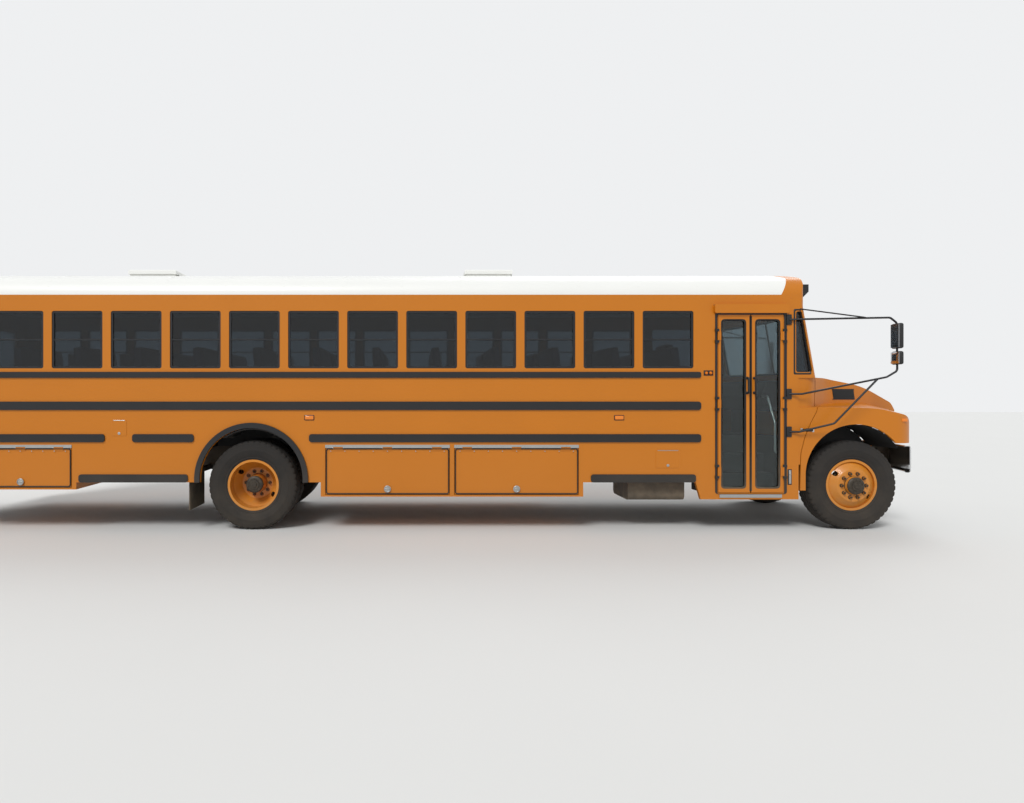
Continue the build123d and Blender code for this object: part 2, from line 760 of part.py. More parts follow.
GLASS_DOOR_LOW = DOOR_LOW + 62
GLASS_DOOR_HIGH = DOOR_HIGH - 66


def make_leaf(front):
    """One leaf of the entrance: a frame round a tall pane, with a pull handle."""
    x_low, x_high = leaf_span(front)
    outer = -LEAF_OUTER_Y
    inner = outer + DOOR_THICK
    leaf = block(x_low, x_high, outer, inner, DOOR_LOW + RUN_GAP, DOOR_HIGH - RUN_GAP)
    hole_low, hole_high = leaf_glass_span(front)
    leaf = leaf - block(hole_low, hole_high, outer, inner, GLASS_DOOR_LOW, GLASS_DOOR_HIGH)
    handle_x = x_low + DOOR_SEAL + DOOR_STILE / 2 if front else x_high - DOOR_SEAL - DOOR_STILE / 2
    points = [
        (handle_x, outer, 1600),
        (handle_x, outer - 45, 1600),
        (handle_x, outer - 45, 1770),
        (handle_x, outer, 1770),
    ]
    return leaf + pipe(points, 18, 9) + door_eyes("front" if front else "rear")


def make_leaf_glass(front):
    hole_low, hole_high = leaf_glass_span(front)
    outer = -LEAF_OUTER_Y + DOOR_THICK / 2
    return block(hole_low, hole_high, outer, outer + GLASS, GLASS_DOOR_LOW, GLASS_DOOR_HIGH)


def make_stepwell():
    """Three treads with risers, and a side wall at each end."""
    rise = (FLOOR_Z - STEP_LOW) / STEP_COUNT
    edge = INSIDE_HALF
    points_top = []
    for index in range(STEP_COUNT):
        tread_z = STEP_LOW + rise * index
        points_top.append((edge - STEP_DEEP * index, tread_z))
        points_top.append((edge - STEP_DEEP * (index + 1), tread_z))
    points_top.append((edge - STEP_DEEP * STEP_COUNT, FLOOR_Z))
    back = edge - STEP_DEEP * STEP_COUNT - STEP_THICK
    points_low = [(back, FLOOR_Z)]
    for index in reversed(range(STEP_COUNT)):
        tread_z = STEP_LOW + rise * index - STEP_THICK
        points_low.append((edge - STEP_DEEP * (index + 1) - STEP_THICK, tread_z))
        points_low.append((edge - STEP_DEEP * index - STEP_THICK, tread_z))
    points_low[-1] = (edge, STEP_LOW - STEP_THICK)
    stairs = lengthwise(outline(*points_top, *points_low), DOOR_REAR_X, DOOR_FRONT_X)
    for x_low, x_high in ((DOOR_REAR_X - STEP_THICK, DOOR_REAR_X), (DOOR_FRONT_X, DOOR_FRONT_X + STEP_THICK)):
        stairs = stairs + block(x_low, x_high, back, edge, STEP_LOW - STEP_THICK, FLOOR_Z)
    return other_side(stairs)


def step_strip():
    """The bright strip under the doorway."""
    return block(DOOR_REAR_X + 20, DOOR_FRONT_X - 20, -BODY_HALF - 10, -BODY_HALF, 386, STEP_LOW)


def grab_rail():
    """The bright rail that slants up from the stepwell's side to the end of the dash."""
    y_at = -INSIDE_HALF + 25
    rail_x = DOOR_FRONT_X - 60
    points = [
        (DOOR_FRONT_X, y_at, 900),
        (rail_x, y_at, 900),
        (rail_x, y_at, 1250),
        (rail_x, DASH_END_Y - 120, 1560),
        (rail_x, DASH_END_Y, 1560),
    ]
    return pipe(points, 40, 14)


# Floor, seats and driver's place
def stepwell_cut():
    """The part of the floor that the steps take."""
    back = INSIDE_HALF - STEP_DEEP * STEP_COUNT - STEP_THICK
    return block(
        DOOR_REAR_X - STEP_THICK, DOOR_FRONT_X + STEP_THICK, -INSIDE_HALF, -back, FRAME_HIGH, FLOOR_Z
    )


HOUSE_IN = TWIN_OUTER_HALF - 471
HOUSE_R = 575
HOUSE_Z = ARCH_Z
HOUSE_THICK = 15


def house_block(radius, y_low):
    """A wheel housing's outside or inside as a solid, on the left."""
    top = across(Pos(REAR_AXLE_X, HOUSE_Z) * Circle(radius), y_low, INSIDE_HALF)
    legs = block(REAR_AXLE_X - radius, REAR_AXLE_X + radius, y_low, INSIDE_HALF, HOUSE_Z, FLOOR_Z)
    return (top + legs) & block(
        REAR_AXLE_X - radius, REAR_AXLE_X + radius, y_low, INSIDE_HALF, FRAME_HIGH, CROWN_Z
    )


def wheel_house():
    """The left steel box over the rear wheels: it fills the notch in the floor."""
    outer = house_block(HOUSE_R + HOUSE_THICK, HOUSE_IN - HOUSE_THICK)
    return outer - house_block(HOUSE_R, HOUSE_IN)


RUNNER_HALF = 140
RUNNER_THICK = 4


def make_floor():
    """The floor deck on its cross sills, with a raised runner along the aisle."""
    rear = BODY_REAR_X + WALL
    front = COWL_X
    deck = block(rear, front, -INSIDE_HALF, INSIDE_HALF, FLOOR_Z - FLOOR_THICK, FLOOR_Z)
    corner = block(rear - 1, BODY_REAR_X + REAR_CORNER_R, -INSIDE_HALF, INSIDE_HALF, FRAME_HIGH, FLOOR_Z)
    deck = deck - (corner - upward(plan_face(WALL, SCREEN_TOP_X), FRAME_HIGH, FLOOR_Z))
    for index in range(-2, WINDOW_COUNT):
        sill_x = FIRST_WINDOW_X - WINDOW_PITCH * (index + 0.5)
        deck = deck + block(
            sill_x - 30, sill_x + 30, -INSIDE_HALF, INSIDE_HALF, CROSS_SILL_Z, FLOOR_Z - FLOOR_THICK
        )
    for x_low, x_high, z_low in box_spans():
        box = block(x_low, x_high, BODY_HALF - BOX_DEEP, BODY_HALF, z_low, BOX_TOP)
        deck = deck - box - other_side(box)
    space = house_block(HOUSE_R + HOUSE_THICK, HOUSE_IN - HOUSE_THICK)
    deck = deck - space - other_side(space)
    runner = block(rear + 60, DOOR_REAR_X - 60, -RUNNER_HALF, RUNNER_HALF, FLOOR_Z, FLOOR_Z + RUNNER_THICK)
    return deck + runner - stepwell_cut()


SEAT_ROWS = 12
SEAT_PITCH = 700
SEAT_AISLE_HALF = 149
SEAT_FIRST_X = DOOR_REAR_X - 420
SEAT_BACK_TOP = 2150
SEAT_WALL_GAP = 30
SEAT_LONG = INSIDE_HALF - SEAT_WALL_GAP - SEAT_AISLE_HALF


def make_seat(back_x, side):
    """One bench: cushion, high back and a leg, as one padded body."""
    far = INSIDE_HALF - SEAT_WALL_GAP
    near = far - SEAT_LONG
    top = SEAT_BACK_TOP
    face = outline(
        (back_x, FLOOR_Z + 350, 30),
        (back_x + 440, FLOOR_Z + 340, 30),
        (back_x + 450, FLOOR_Z + 470, 40),
        (back_x + 100, FLOOR_Z + 450, 20),
        (back_x + 20, top, 30),
        (back_x - 80, top, 30),
    )
    bench = across(face, near, far)
    leg = block(back_x + 120, back_x + 330, near + 80, near + 110, FLOOR_Z, FLOOR_Z + 360)
    bench = bench + leg
    return bench if side > 0 else other_side(bench)


def make_seats():
    benches = []
    for row in range(SEAT_ROWS):
        back_x = SEAT_FIRST_X - SEAT_PITCH * row
        benches.append(make_seat(back_x, 1))
        benches.append(make_seat(back_x, -1))
    benches.append(driver_seat())
    return together(benches)


DRIVER_Y = 560
DRIVER_SEAT_X = COWL_X - 850


def driver_seat():
    face = outline(
        (DRIVER_SEAT_X, FLOOR_Z + 400, 40),
        (DRIVER_SEAT_X + 500, FLOOR_Z + 400, 40),
        (DRIVER_SEAT_X + 500, FLOOR_Z + 520, 50),
        (DRIVER_SEAT_X + 110, FLOOR_Z + 510, 20),
        (DRIVER_SEAT_X, FLOOR_Z + 1230, 50),
        (DRIVER_SEAT_X - 110, FLOOR_Z + 1220, 50),
    )
    seat = across(face, DRIVER_Y - 250, DRIVER_Y + 250)
    return seat + block(
        DRIVER_SEAT_X + 80, DRIVER_SEAT_X + 420, DRIVER_Y - 170, DRIVER_Y + 170, FLOOR_Z, FLOOR_Z + 402
    )


DASH_DEEP = 265
DASH_END_Y = -INSIDE_HALF + 330


def make_dashboard():
    """The dash across the cabin, with an instrument hump for the driver."""
    face = outline(
        (COWL_X - DASH_DEEP, FLOOR_Z + 480, 40),
        (COWL_X - 150, FLOOR_Z + 300, 20),
        (COWL_X, FLOOR_Z + 300),
        (COWL_X, SILL_Z - 20),
        (COWL_X - 180, SILL_Z - 20, 60),
    )
    dash = across(face, DASH_END_Y, INSIDE_HALF - 1)
    pedestal = block(COWL_X - 150, COWL_X, -120, 220, FLOOR_Z, FLOOR_Z + 302)
    return dash + pedestal + steering_wheel()


WHEEL_RIM_R = 225


def steering_wheel():
    """The driver's wheel on its slanted column."""
    middle = Vector(COWL_X - 400, DRIVER_Y, FLOOR_Z + 700)
    lean = Vector(0.6, 0, -0.8)
    plane = Plane(origin=middle, x_dir=(0, 1, 0), z_dir=lean)
    rim = plane.location * Torus(WHEEL_RIM_R, 14)
    spokes = plane.location * Box(2 * WHEEL_RIM_R - 10, 40, 16)
    hub = plane.location * Cylinder(60, 50)
    column = rod(middle, middle + lean * 270, 28)
    return rim + spokes + hub + column


# Chassis
def make_chassis_frame():
    """Two channel rails joined by cross members, with a strip on each that the body's sills rest on."""
    rear = TAIL_X + REAR_BUMPER_DEPTH
    front = NOSE_X - BUMPER_SWEEP
    channel = outline(
        (FRAME_HALF - FRAME_FLANGE, FRAME_LOW),
        (FRAME_HALF, FRAME_LOW),
        (FRAME_HALF, FRAME_HIGH),
        (FRAME_HALF - FRAME_FLANGE, FRAME_HIGH),
        (FRAME_HALF - FRAME_FLANGE, FRAME_HIGH - FRAME_WEB),
        (FRAME_HALF - FRAME_WEB, FRAME_HIGH - FRAME_WEB),
        (FRAME_HALF - FRAME_WEB, FRAME_LOW + FRAME_WEB),
        (FRAME_HALF - FRAME_FLANGE, FRAME_LOW + FRAME_WEB),
    )
    rail = lengthwise(channel, rear, front)
    frame = rail + other_side(rail)
    span = (COWL_X - 1200) - (rear + 60)
    for index in range(CROSS_COUNT):
        member_x = rear + 60 + span * index / (CROSS_COUNT - 1)
        frame = frame + block(
            member_x - 40, member_x + 40, -FRAME_HALF + FRAME_WEB, FRAME_HALF - FRAME_WEB, 850, 925
        )
    nose_member = block(
        front - 90, front - 10, -FRAME_HALF + FRAME_WEB, FRAME_HALF - FRAME_WEB, FRAME_LOW + 12, FRAME_LOW + 60
    )
    strip = block(BODY_REAR_X + WALL, COWL_X, FRAME_HALF - FRAME_FLANGE, FRAME_HALF, FRAME_HIGH, CROSS_SILL_Z)
    return frame + nose_member + hinge_tube() + strip + other_side(strip)


ENGINE_LONG = 1100
ENGINE_FRONT_X = FRONT_AXLE_X + 480


def make_engine():
    """The engine as one plain block over the front axle."""
    block_rear = ENGINE_FRONT_X - ENGINE_LONG
    engine = block(block_rear, ENGINE_FRONT_X, -290, 290, FRAME_LOW, 1500)
    mount_x = ENGINE_FRONT_X - 300
    mount_y = FRAME_HALF - FRAME_WEB
    return engine + block(mount_x, mount_x + 120, -mount_y, mount_y, 760, 820)


SHAFT_Z = 700
SHAFT_R = 55


def make_driveline():
    """Gearbox behind the engine and the shaft back to the rear axle."""
    rear = ENGINE_FRONT_X - ENGINE_LONG
    box_rear = rear - 850
    gearbox = rod((rear, 0, SHAFT_Z + 40), (box_rear, 0, SHAFT_Z + 40), 210)
    shaft_end = (REAR_AXLE_X + 250, 0, TYRE_R + 20)
    shaft = rod((box_rear + 5, 0, SHAFT_Z + 20), shaft_end, SHAFT_R)
    arm_y = FRAME_HALF - FRAME_WEB
    arms = block(box_rear + 200, box_rear + 280, -arm_y, arm_y, 720, 780)
    return gearbox + shaft + arms


def leaf_pack(centre_x, centre_y, z_mid, length, wide, deep):
    """A bowed leaf spring: two arcs joined at blunt eyes."""
    bow = 90
    half = length / 2
    lower = ThreePointArc((centre_x - half, z_mid + bow), (centre_x, z_mid), (centre_x + half, z_mid + bow))
    upper = ThreePointArc(
        (centre_x - half, z_mid + bow + deep / 3), (centre_x, z_mid + deep), (centre_x + half, z_mid + bow + deep / 3)
    )
    ends = Line(lower @ 0, upper @ 0) + Line(lower @ 1, upper @ 1)
    face = make_face(lower + upper + ends)
    spring = across(face, centre_y - wide / 2, centre_y + wide / 2)
    for end_x in (centre_x - half, centre_x + half):
        spring = spring + block(
            end_x - 40, end_x + 40, centre_y - wide / 2, centre_y + wide / 2, z_mid + bow, FRAME_LOW
        )
    return spring


LEAF_HALF = FRAME_HALF - FRAME_FLANGE / 2
LEAF_WIDE = 76
BOSS_R = 46
BOSS_LOW = 462
BOSS_HIGH = 578


def make_front_axle():
    """The dropped beam with a boss at each kingpin, and its two leaf springs."""
    beam_face = outline(
        (-KINGPIN_HALF, BOSS_LOW),
        (-KINGPIN_HALF + 160, BOSS_LOW),
        (-KINGPIN_HALF + 330, 400, 40),
        (KINGPIN_HALF - 330, 400, 40),
        (KINGPIN_HALF - 160, BOSS_LOW),
        (KINGPIN_HALF, BOSS_LOW),
        (KINGPIN_HALF, BOSS_HIGH),
        (KINGPIN_HALF - 200, BOSS_HIGH - 10, 60),
        (KINGPIN_HALF - 360, 500, 60),
        (-KINGPIN_HALF + 360, 500, 60),
        (-KINGPIN_HALF + 200, BOSS_HIGH - 10, 60),
        (-KINGPIN_HALF, BOSS_HIGH),
    )
    axle = lengthwise(beam_face, FRONT_AXLE_X - 45, FRONT_AXLE_X + 45)
    for side in (-1, 1):
        boss_at = Pos(FRONT_AXLE_X, side * KINGPIN_HALF, (BOSS_LOW + BOSS_HIGH) / 2)
        outboard = Pos(FRONT_AXLE_X, side * (KINGPIN_HALF + 100), TYRE_R) * Box(120, 200, 400)
        axle = axle - outboard + boss_at * Cylinder(BOSS_R, BOSS_HIGH - BOSS_LOW)
        axle = axle - boss_at * Cylinder(KINGPIN_R + KINGPIN_GAP, BOSS_HIGH - BOSS_LOW + 60)
        axle = axle + leaf_pack(FRONT_AXLE_X, side * LEAF_HALF, 494, 1320, LEAF_WIDE, 60)
    return axle


def make_knuckle():
    """The left steering knuckle: kingpin between two ears, spindle and steering arm."""
    x_at = FRONT_AXLE_X
    low = BOSS_LOW - EAR_GAP
    high = BOSS_HIGH + EAR_GAP
    upright_y = KINGPIN_HALF + BOSS_R + EAR_GAP
    knuckle = Pos(x_at, KINGPIN_HALF, (low + high) / 2) * Cylinder(KINGPIN_R, high - low + 60)
    for z_low, z_high in ((low - 30, low), (high, high + 30)):
        knuckle = knuckle + block(x_at - 40, x_at + 40, KINGPIN_HALF - 35, upright_y + 10, z_low, z_high)
    knuckle = knuckle + block(x_at - 60, x_at + 60, upright_y, upright_y + 30, low - 30, high + 30)
    knuckle = knuckle + rod((x_at, upright_y, TYRE_R), (x_at, HUB_FACE_Y - 30, TYRE_R), SPINDLE_R)
    arm_y = KINGPIN_HALF
    arm = block(x_at - ARM_BACK - 25, x_at - 30, arm_y - 22, arm_y + 22, low - 30, low - 8)
    pin = rod((x_at - ARM_BACK, arm_y, low - 20), (x_at - ARM_BACK, arm_y, TIE_Z - 20), TIE_PIN_R)
    return knuckle + arm + pin


def make_tie_rod():
    """The track rod behind the axle, with an eye round each steering arm's pin."""
    arm_y = KINGPIN_HALF
    x_at = FRONT_AXLE_X - ARM_BACK
    bar = rod((x_at, -arm_y, TIE_Z), (x_at, arm_y, TIE_Z), TIE_R)
    for side in (-1, 1):
        bar = bar + Pos(x_at, side * arm_y, TIE_Z) * Cylinder(28, 30)
    for side in (-1, 1):
        bar = bar - Pos(x_at, side * arm_y, TIE_Z) * Cylinder(TIE_PIN_R + KINGPIN_GAP, 80)
    return bar


def make_rear_axle():
    """The banjo housing, the spindles inside the twin hubs, and the leaf springs."""
    tube_end = TWIN_OUTER_HALF - TWIN_SPACING - RIM_HALF - 40
    axle = rod((REAR_AXLE_X, -tube_end, TYRE_R), (REAR_AXLE_X, tube_end, TYRE_R), 75)
    axle = axle + Pos(REAR_AXLE_X, 0, TYRE_R) * Rot(0, 90, 0) * Cylinder(215, 190)
    axle = axle + rod((REAR_AXLE_X + 90, 0, TYRE_R + 10), (REAR_AXLE_X + 240, 0, TYRE_R + 18), 95)
    spindle_end = rear_disc_y() + 60
    axle = axle + rod((REAR_AXLE_X, -spindle_end, TYRE_R), (REAR_AXLE_X, spindle_end, TYRE_R), SPINDLE_R)
    for side in (-1, 1):
        axle = axle + leaf_pack(REAR_AXLE_X, side * LEAF_HALF, TYRE_R + 40, 1500, LEAF_WIDE, 90)
    return axle


# Wheels, drawn about the Y axis and then set in place; y points away from the bus
def ring(*corners):
    """A solid turned about the Y axis from (radius, y) corners."""
    return revolve(outline(*corners), Axis.Y)


def make_tyre_ring(centre_y):
    """One tyre with round shoulders on bulged side walls."""
    seat = RIM_R + 0.3
    return ring(
        (seat, centre_y - RIM_HALF + 12),
        (seat + 14, centre_y - RIM_HALF + 2),
        (TYRE_R - 105, centre_y - TYRE_HALF, 70),
        (TYRE_R - 8, centre_y - TYRE_HALF + 14, 14),
        (TYRE_R, centre_y),
        (TYRE_R - 8, centre_y + TYRE_HALF - 14, 14),
        (TYRE_R - 105, centre_y + TYRE_HALF, 70),
        (seat + 14, centre_y + RIM_HALF - 2),
        (seat, centre_y + RIM_HALF - 12),
    )


def make_twin_tyres():
    inner_y = TWIN_OUTER_HALF - TWIN_SPACING
    return together([make_tyre_ring(TWIN_OUTER_HALF), make_tyre_ring(inner_y)])


def make_rim_barrel(centre_y):
    """The rim's channel with a bead flange at each edge."""
    return ring(
        (RIM_R - RIM_THICK, centre_y - RIM_HALF),
        (FLANGE_R, centre_y - RIM_HALF),
        (FLANGE_R, centre_y - RIM_HALF + 1),
        (RIM_R, centre_y - RIM_HALF + 11),
        (RIM_R, centre_y + RIM_HALF - 11),
        (FLANGE_R, centre_y + RIM_HALF - 1),
        (FLANGE_R, centre_y + RIM_HALF),
        (RIM_R - RIM_THICK, centre_y + RIM_HALF),
    )


def rim_disc(face_y, weld_y, sign):
    """The dished disc: a flat middle at face_y and a cone out to the barrel at weld_y."""
    thick = DISC_THICK * sign
    return ring(
        (PILOT_R, face_y),
        (BOLT_CIRCLE_R + 45, face_y, 25),
        (RIM_R - RIM_THICK + 2, weld_y),
        (RIM_R - RIM_THICK + 2, weld_y - thick * 1.6),
        (BOLT_CIRCLE_R + 42, face_y - thick, 25),
        (PILOT_R, face_y - thick),
    )


def hand_holes(face_y):
    """Two holes through the disc's cone, opposite each other."""
    cuts = []
    for turn in (35, 215):
        at = Rot(0, turn, 0) * Pos(HAND_HOLE_AT, face_y, 0) * Rot(90, 0, 0)
        cuts.append(at * Cylinder(HAND_HOLE_R, 300))
    return cuts


FRONT_DISC_Y = FRONT_TRACK_HALF + RIM_HALF + DISC_PROUD
HUB_FACE_Y = FRONT_DISC_Y + 60


def rear_disc_y():
    """Where the two discs of a twin wheel meet."""
    return TWIN_OUTER_HALF - TWIN_SPACING / 2


def make_front_rim():
    rim = make_rim_barrel(FRONT_TRACK_HALF)
    rim = rim + rim_disc(FRONT_DISC_Y, FRONT_TRACK_HALF + RIM_HALF - 30, 1)
    for cut in hand_holes(FRONT_DISC_Y):
        rim = rim - cut
    back = KINGPIN_HALF + BOSS_R + EAR_GAP + 30 + EAR_GAP
    rim = rim + wheel_hub(FRONT_DISC_Y - DISC_THICK, FRONT_DISC_Y, back, HUB_FACE_Y)
    return rim + wheel_nuts(FRONT_DISC_Y)


def make_rear_rims():
    """Both rims of the twin wheel, bolted face to face at their discs."""
    meet = rear_disc_y()
    outer = make_rim_barrel(TWIN_OUTER_HALF) + rim_disc(meet, TWIN_OUTER_HALF - RIM_HALF + 30, -1)
    inner = make_rim_barrel(TWIN_OUTER_HALF - TWIN_SPACING)
    inner = inner + rim_disc(meet, TWIN_OUTER_HALF - TWIN_SPACING + RIM_HALF - 30, 1)
    rims = outer + inner
    for cut in hand_holes(meet):
        rims = rims - cut
    back = TWIN_OUTER_HALF - TWIN_SPACING - RIM_HALF - 30
    rims = rims + wheel_hub(meet - DISC_THICK, meet + DISC_THICK, back, TWIN_OUTER_HALF + 55)
    return rims + wheel_nuts(meet + DISC_THICK)


def wheel_hub(disc_y, face_y, back_y, cap_y):
    """The hub with its cap, bored for the spindle, and the ring of wheel nuts."""
    bore = SPINDLE_R + KINGPIN_GAP
    return ring(
        (bore, back_y),
        (PILOT_R + 35, back_y),
        (PILOT_R + 35, disc_y),
        (PILOT_R, disc_y),
        (PILOT_R, face_y + 6),
        (HUB_R - 8, cap_y - 12),
        (HUB_R - 30, cap_y, 10),
        (0, cap_y),
        (0, cap_y - 14),
        (bore, cap_y - 14),
    )


def wheel_nuts(face_y):
    """Ten nuts on the bolt circle, standing on the disc."""
    nuts = []
    for index in range(NUT_COUNT):
        at = Rot(0, 360 * index / NUT_COUNT, 0) * Pos(BOLT_CIRCLE_R, face_y, 0) * Rot(-90, 0, 0)
        nuts.append(at * extrude(RegularPolygon(NUT_R, 6), NUT_OUT))
    return nuts


def set_wheel(shape, axle_x):
    return Pos(axle_x, 0, TYRE_R) * shape


# Nose: one shape for the hood and the cowl, parted at the gap line
def nose_plan(inset, rear_x):
    half = NOSE_HALF - inset
    front = NOSE_X - 65 - inset
    return outline(
        (rear_x, -half),
        (FRONT_AXLE_X + 620 - inset, -half, 260 - inset),
        (FRONT_AXLE_X + 790 - inset, -half + 260, 200),
        (front, 0, 2600),
        (FRONT_AXLE_X + 790 - inset, half - 260, 200),
        (FRONT_AXLE_X + 620 - inset, half, 260 - inset),
        (rear_x, half),
    )


def fender_face(inset, rear_x, z_low):
    """The fender's shoulder line, seen from the side."""
    axle = FRONT_AXLE_X
    return outline(
        (rear_x, z_low),
        (axle + 741 - inset, z_low),
        (axle + 741 - inset, 1130 - inset / 2, 200),
        (axle + 640 - inset, 1330 - inset, 200),
        (axle + 250, 1421 - inset, 900),
        (axle - 250, 1432 - inset),
        (rear_x, 1432 - inset),
    )


SHELF_INNER = 600
SHELF_RISE = 110


def fender_block(inset, rear_x, z_low):
    """The right fender as a block whose top falls away outwards."""
    base = Plane.XZ.offset(SHELF_INNER) * (Pos(0, SHELF_RISE) * fender_face(inset, rear_x, z_low - SHELF_RISE))
    reach = NOSE_HALF - SHELF_INNER
    solid = Solid.extrude(base.face(), Vector(0, -reach, -SHELF_RISE))
    solid = solid & upward(nose_plan(inset, rear_x), z_low, 1900)
    return solid


def bonnet_block(inset, rear_x, z_low):
    """The middle of the hood: wide at the cowl, narrow and lower at the grille."""
    axle = FRONT_AXLE_X
    side = outline(
        (rear_x, z_low),
        (NOSE_X - 65 - inset, z_low),
        (NOSE_X - 75 - inset, 1330 - inset, 160),
        (NOSE_X - 175 - inset, 1480 - inset, 140),
        (axle + 300, 1680 - inset, 1500),
        (axle - 260, 1775 - inset, 900),
        (rear_x, 1785 - inset),
    )
    plan = outline(
        (rear_x, -NOSE_HALF + 6 + inset),
        (axle - 520, -NOSE_HALF + 13 + inset, 260),
        (axle - 200, -NOSE_HALF + 238 + inset, 500),
        (axle + 150, -NOSE_HALF + 313 + inset, 2000),
        (NOSE_X - 60, -NOSE_HALF + 573 + inset),
        (NOSE_X - 60, NOSE_HALF - 573 - inset),
        (axle + 150, NOSE_HALF - 313 - inset, 2000),
        (axle - 200, NOSE_HALF - 238 - inset, 500),
        (axle - 520, NOSE_HALF - 13 - inset, 260),
        (rear_x, NOSE_HALF - 6 - inset),
    )
    solid = across(side, -BODY_HALF, BODY_HALF) & upward(plan, z_low, 1900)
    return solid & upward(nose_plan(inset, rear_x), z_low, 1900)


def nose_block(inset, rear_x, z_low):
    fender = fender_block(inset, rear_x, z_low)
    return bonnet_block(inset, rear_x, z_low) + fender + other_side(fender)


def gap_region(shift):
    """Everything behind the gap between cowl and hood, moved forward by shift."""
    x_at = COWL_X + shift
    side = outline(
        (x_at - 900, 300),
        (x_at + 10, 300),
        (x_at + 25, 900, 300),
        (x_at + 71, 1080, 200),
        (x_at + 134, 1240, 300),
        (x_at + 218, 1400, 150),
        (x_at + 225, 1600),
        (x_at - 900, 1600),
    )
    low = across(side, -BODY_HALF - 10, BODY_HALF + 10)
    bulge = 200
    plan = outline(
        (x_at - 900, -BODY_HALF),
        (x_at + 218, -BODY_HALF),
        (x_at + 218 + bulge, 0, 2200),
        (x_at + 218, BODY_HALF),
        (x_at - 900, BODY_HALF),
    )
    return low + upward(plan, 1600, 2000)


def nose_shell():
    rear_x = COWL_X
    return nose_block(0, rear_x, LEG_LOW) - nose_block(HOOD_WALL, rear_x - 50, LEG_LOW - 50)


def front_arch_cut():
    """The wheel opening, open below and ahead under the bumper line."""
    arch_x = FRONT_AXLE_X + 5
    cut = Pos(arch_x, FRONT_ARCH_Z) * Circle(FRONT_ARCH_R)
    cut = cut + outline(
        (arch_x - FRONT_ARCH_R, LEG_LOW - 100),
        (NOSE_X + 100, LEG_LOW - 100),
        (NOSE_X + 100, HOOD_LOW),
        (arch_x, HOOD_LOW),
        (arch_x, FRONT_ARCH_Z),
        (arch_x - FRONT_ARCH_R, FRONT_ARCH_Z),
    )
    return across(cut, -BODY_HALF - 10, BODY_HALF + 10)


GRILLE_HALF = 560
GRILLE_LOW = 1045
GRILLE_HIGH = 1405
LAMP_INNER = NOSE_HALF - 513
LAMP_OUTER = NOSE_HALF - 133
LAMP_LOW = 1075
LAMP_HIGH = 1265


def grille_face(inset):
    half = GRILLE_HALF - inset
    return outline(
        (-half + 60, GRILLE_LOW + inset, 40),
        (half - 60, GRILLE_LOW + inset, 40),
        (half, GRILLE_HIGH - inset, 60),
        (-half, GRILLE_HIGH - inset, 60),
    )


def lamp_face(inset):
    """The left headlamp's opening, seen from the front: it tapers towards the grille."""
    return outline(
        (LAMP_INNER + inset, LAMP_LOW + 20 + inset, 30),
        (LAMP_OUTER - inset, LAMP_LOW + inset, 50),
        (LAMP_OUTER - inset, LAMP_HIGH - inset, 70),
        (LAMP_INNER + inset, LAMP_HIGH - 50 - inset, 30),
    )


HINGE_X = NOSE_X - 160
HINGE_Z = 620
HINGE_Y = 612
HINGE_PIN_R = 15
HINGE_ARM_R = 17


def hinge_arm():
    """The left gooseneck that carries the hood and passes over the bumper when it tilts."""
    points = [
        (HINGE_X, HINGE_Y, HINGE_Z),
        (HINGE_X - 175, HINGE_Y, HINGE_Z + 75),
        (HINGE_X - 265, HINGE_Y, HINGE_Z + 272),
        (HINGE_X - 175, HINGE_Y, HINGE_Z + 395),
        (HINGE_X + 28, HINGE_Y, HINGE_Z + 600),
    ]
    arm = pipe(points, 70, HINGE_ARM_R)
    eye = Pos(HINGE_X, HINGE_Y, HINGE_Z) * Rot(90, 0, 0)
    return arm + eye * Cylinder(30, 34) - eye * Cylinder(HINGE_PIN_R + KINGPIN_GAP, 80)


def hinge_tube():
    """The cross tube under the rails that the hood's hinge arms turn on."""
    tube = rod((HINGE_X, -HINGE_Y - 17, HINGE_Z), (HINGE_X, HINGE_Y + 17, HINGE_Z), HINGE_PIN_R)
    for side in (-1, 1):
        y_mid = side * LEAF_HALF
        tube = tube + block(HINGE_X - 60, HINGE_X - 20, y_mid - 41, y_mid + 41, HINGE_Z - 18, FRAME_LOW + 1)
        tube = tube + block(HINGE_X - 60, HINGE_X, y_mid - 41, y_mid + 41, HINGE_Z - 18, HINGE_Z + 18)
    return tube


def make_hood(shell):
    hood = shell - gap_region(HOOD_GAP) - front_arch_cut()
    hood = hood - lengthwise(grille_face(0), FRONT_AXLE_X + 500, NOSE_X)
    for face in (lamp_face(0), mirror(lamp_face(0), about=Plane.YZ)):
        hood = hood - lengthwise(face, FRONT_AXLE_X + 500, NOSE_X)
    return hood + hinge_arm() + other_side(hinge_arm())


def make_cowl(shell):
    """The fixed panel under the windshield, with the firewall."""
    region = block(COWL_X, NOSE_X, -BODY_HALF, BODY_HALF, LEG_LOW + 300, SILL_Z)
    cowl = (shell & gap_region(0)) & region
    firewall = block(COWL_X, COWL_X + 26, -INSIDE_HALF, INSIDE_HALF, FRAME_HIGH + 15, 1700)
    return cowl + (firewall & nose_block(1, COWL_X - 50, LEG_LOW))


def make_grille():
    """Slats on uprights that follow the nose's curve, set inside the hood's opening."""
    outer = nose_block(8, COWL_X, LEG_LOW)
    inner = nose_block(HOOD_WALL, COWL_X - 50, LEG_LOW - 50)
    skin = (outer - inner) & lengthwise(grille_face(0), FRONT_AXLE_X + 500, NOSE_X)
    holes = []
    slat_count = 6
    slot = (GRILLE_HIGH - GRILLE_LOW - 40) / slat_count
    for index in range(slat_count):
        z_low = GRILLE_LOW + 28 + slot * index
        for side in (-1, 0, 1):
            y_mid = side * 340
            holes.append(block(FRONT_AXLE_X + 500, NOSE_X, y_mid - 155, y_mid + 155, z_low, z_low + slot - 22))
    for hole in holes:
        skin = skin - hole
    return skin


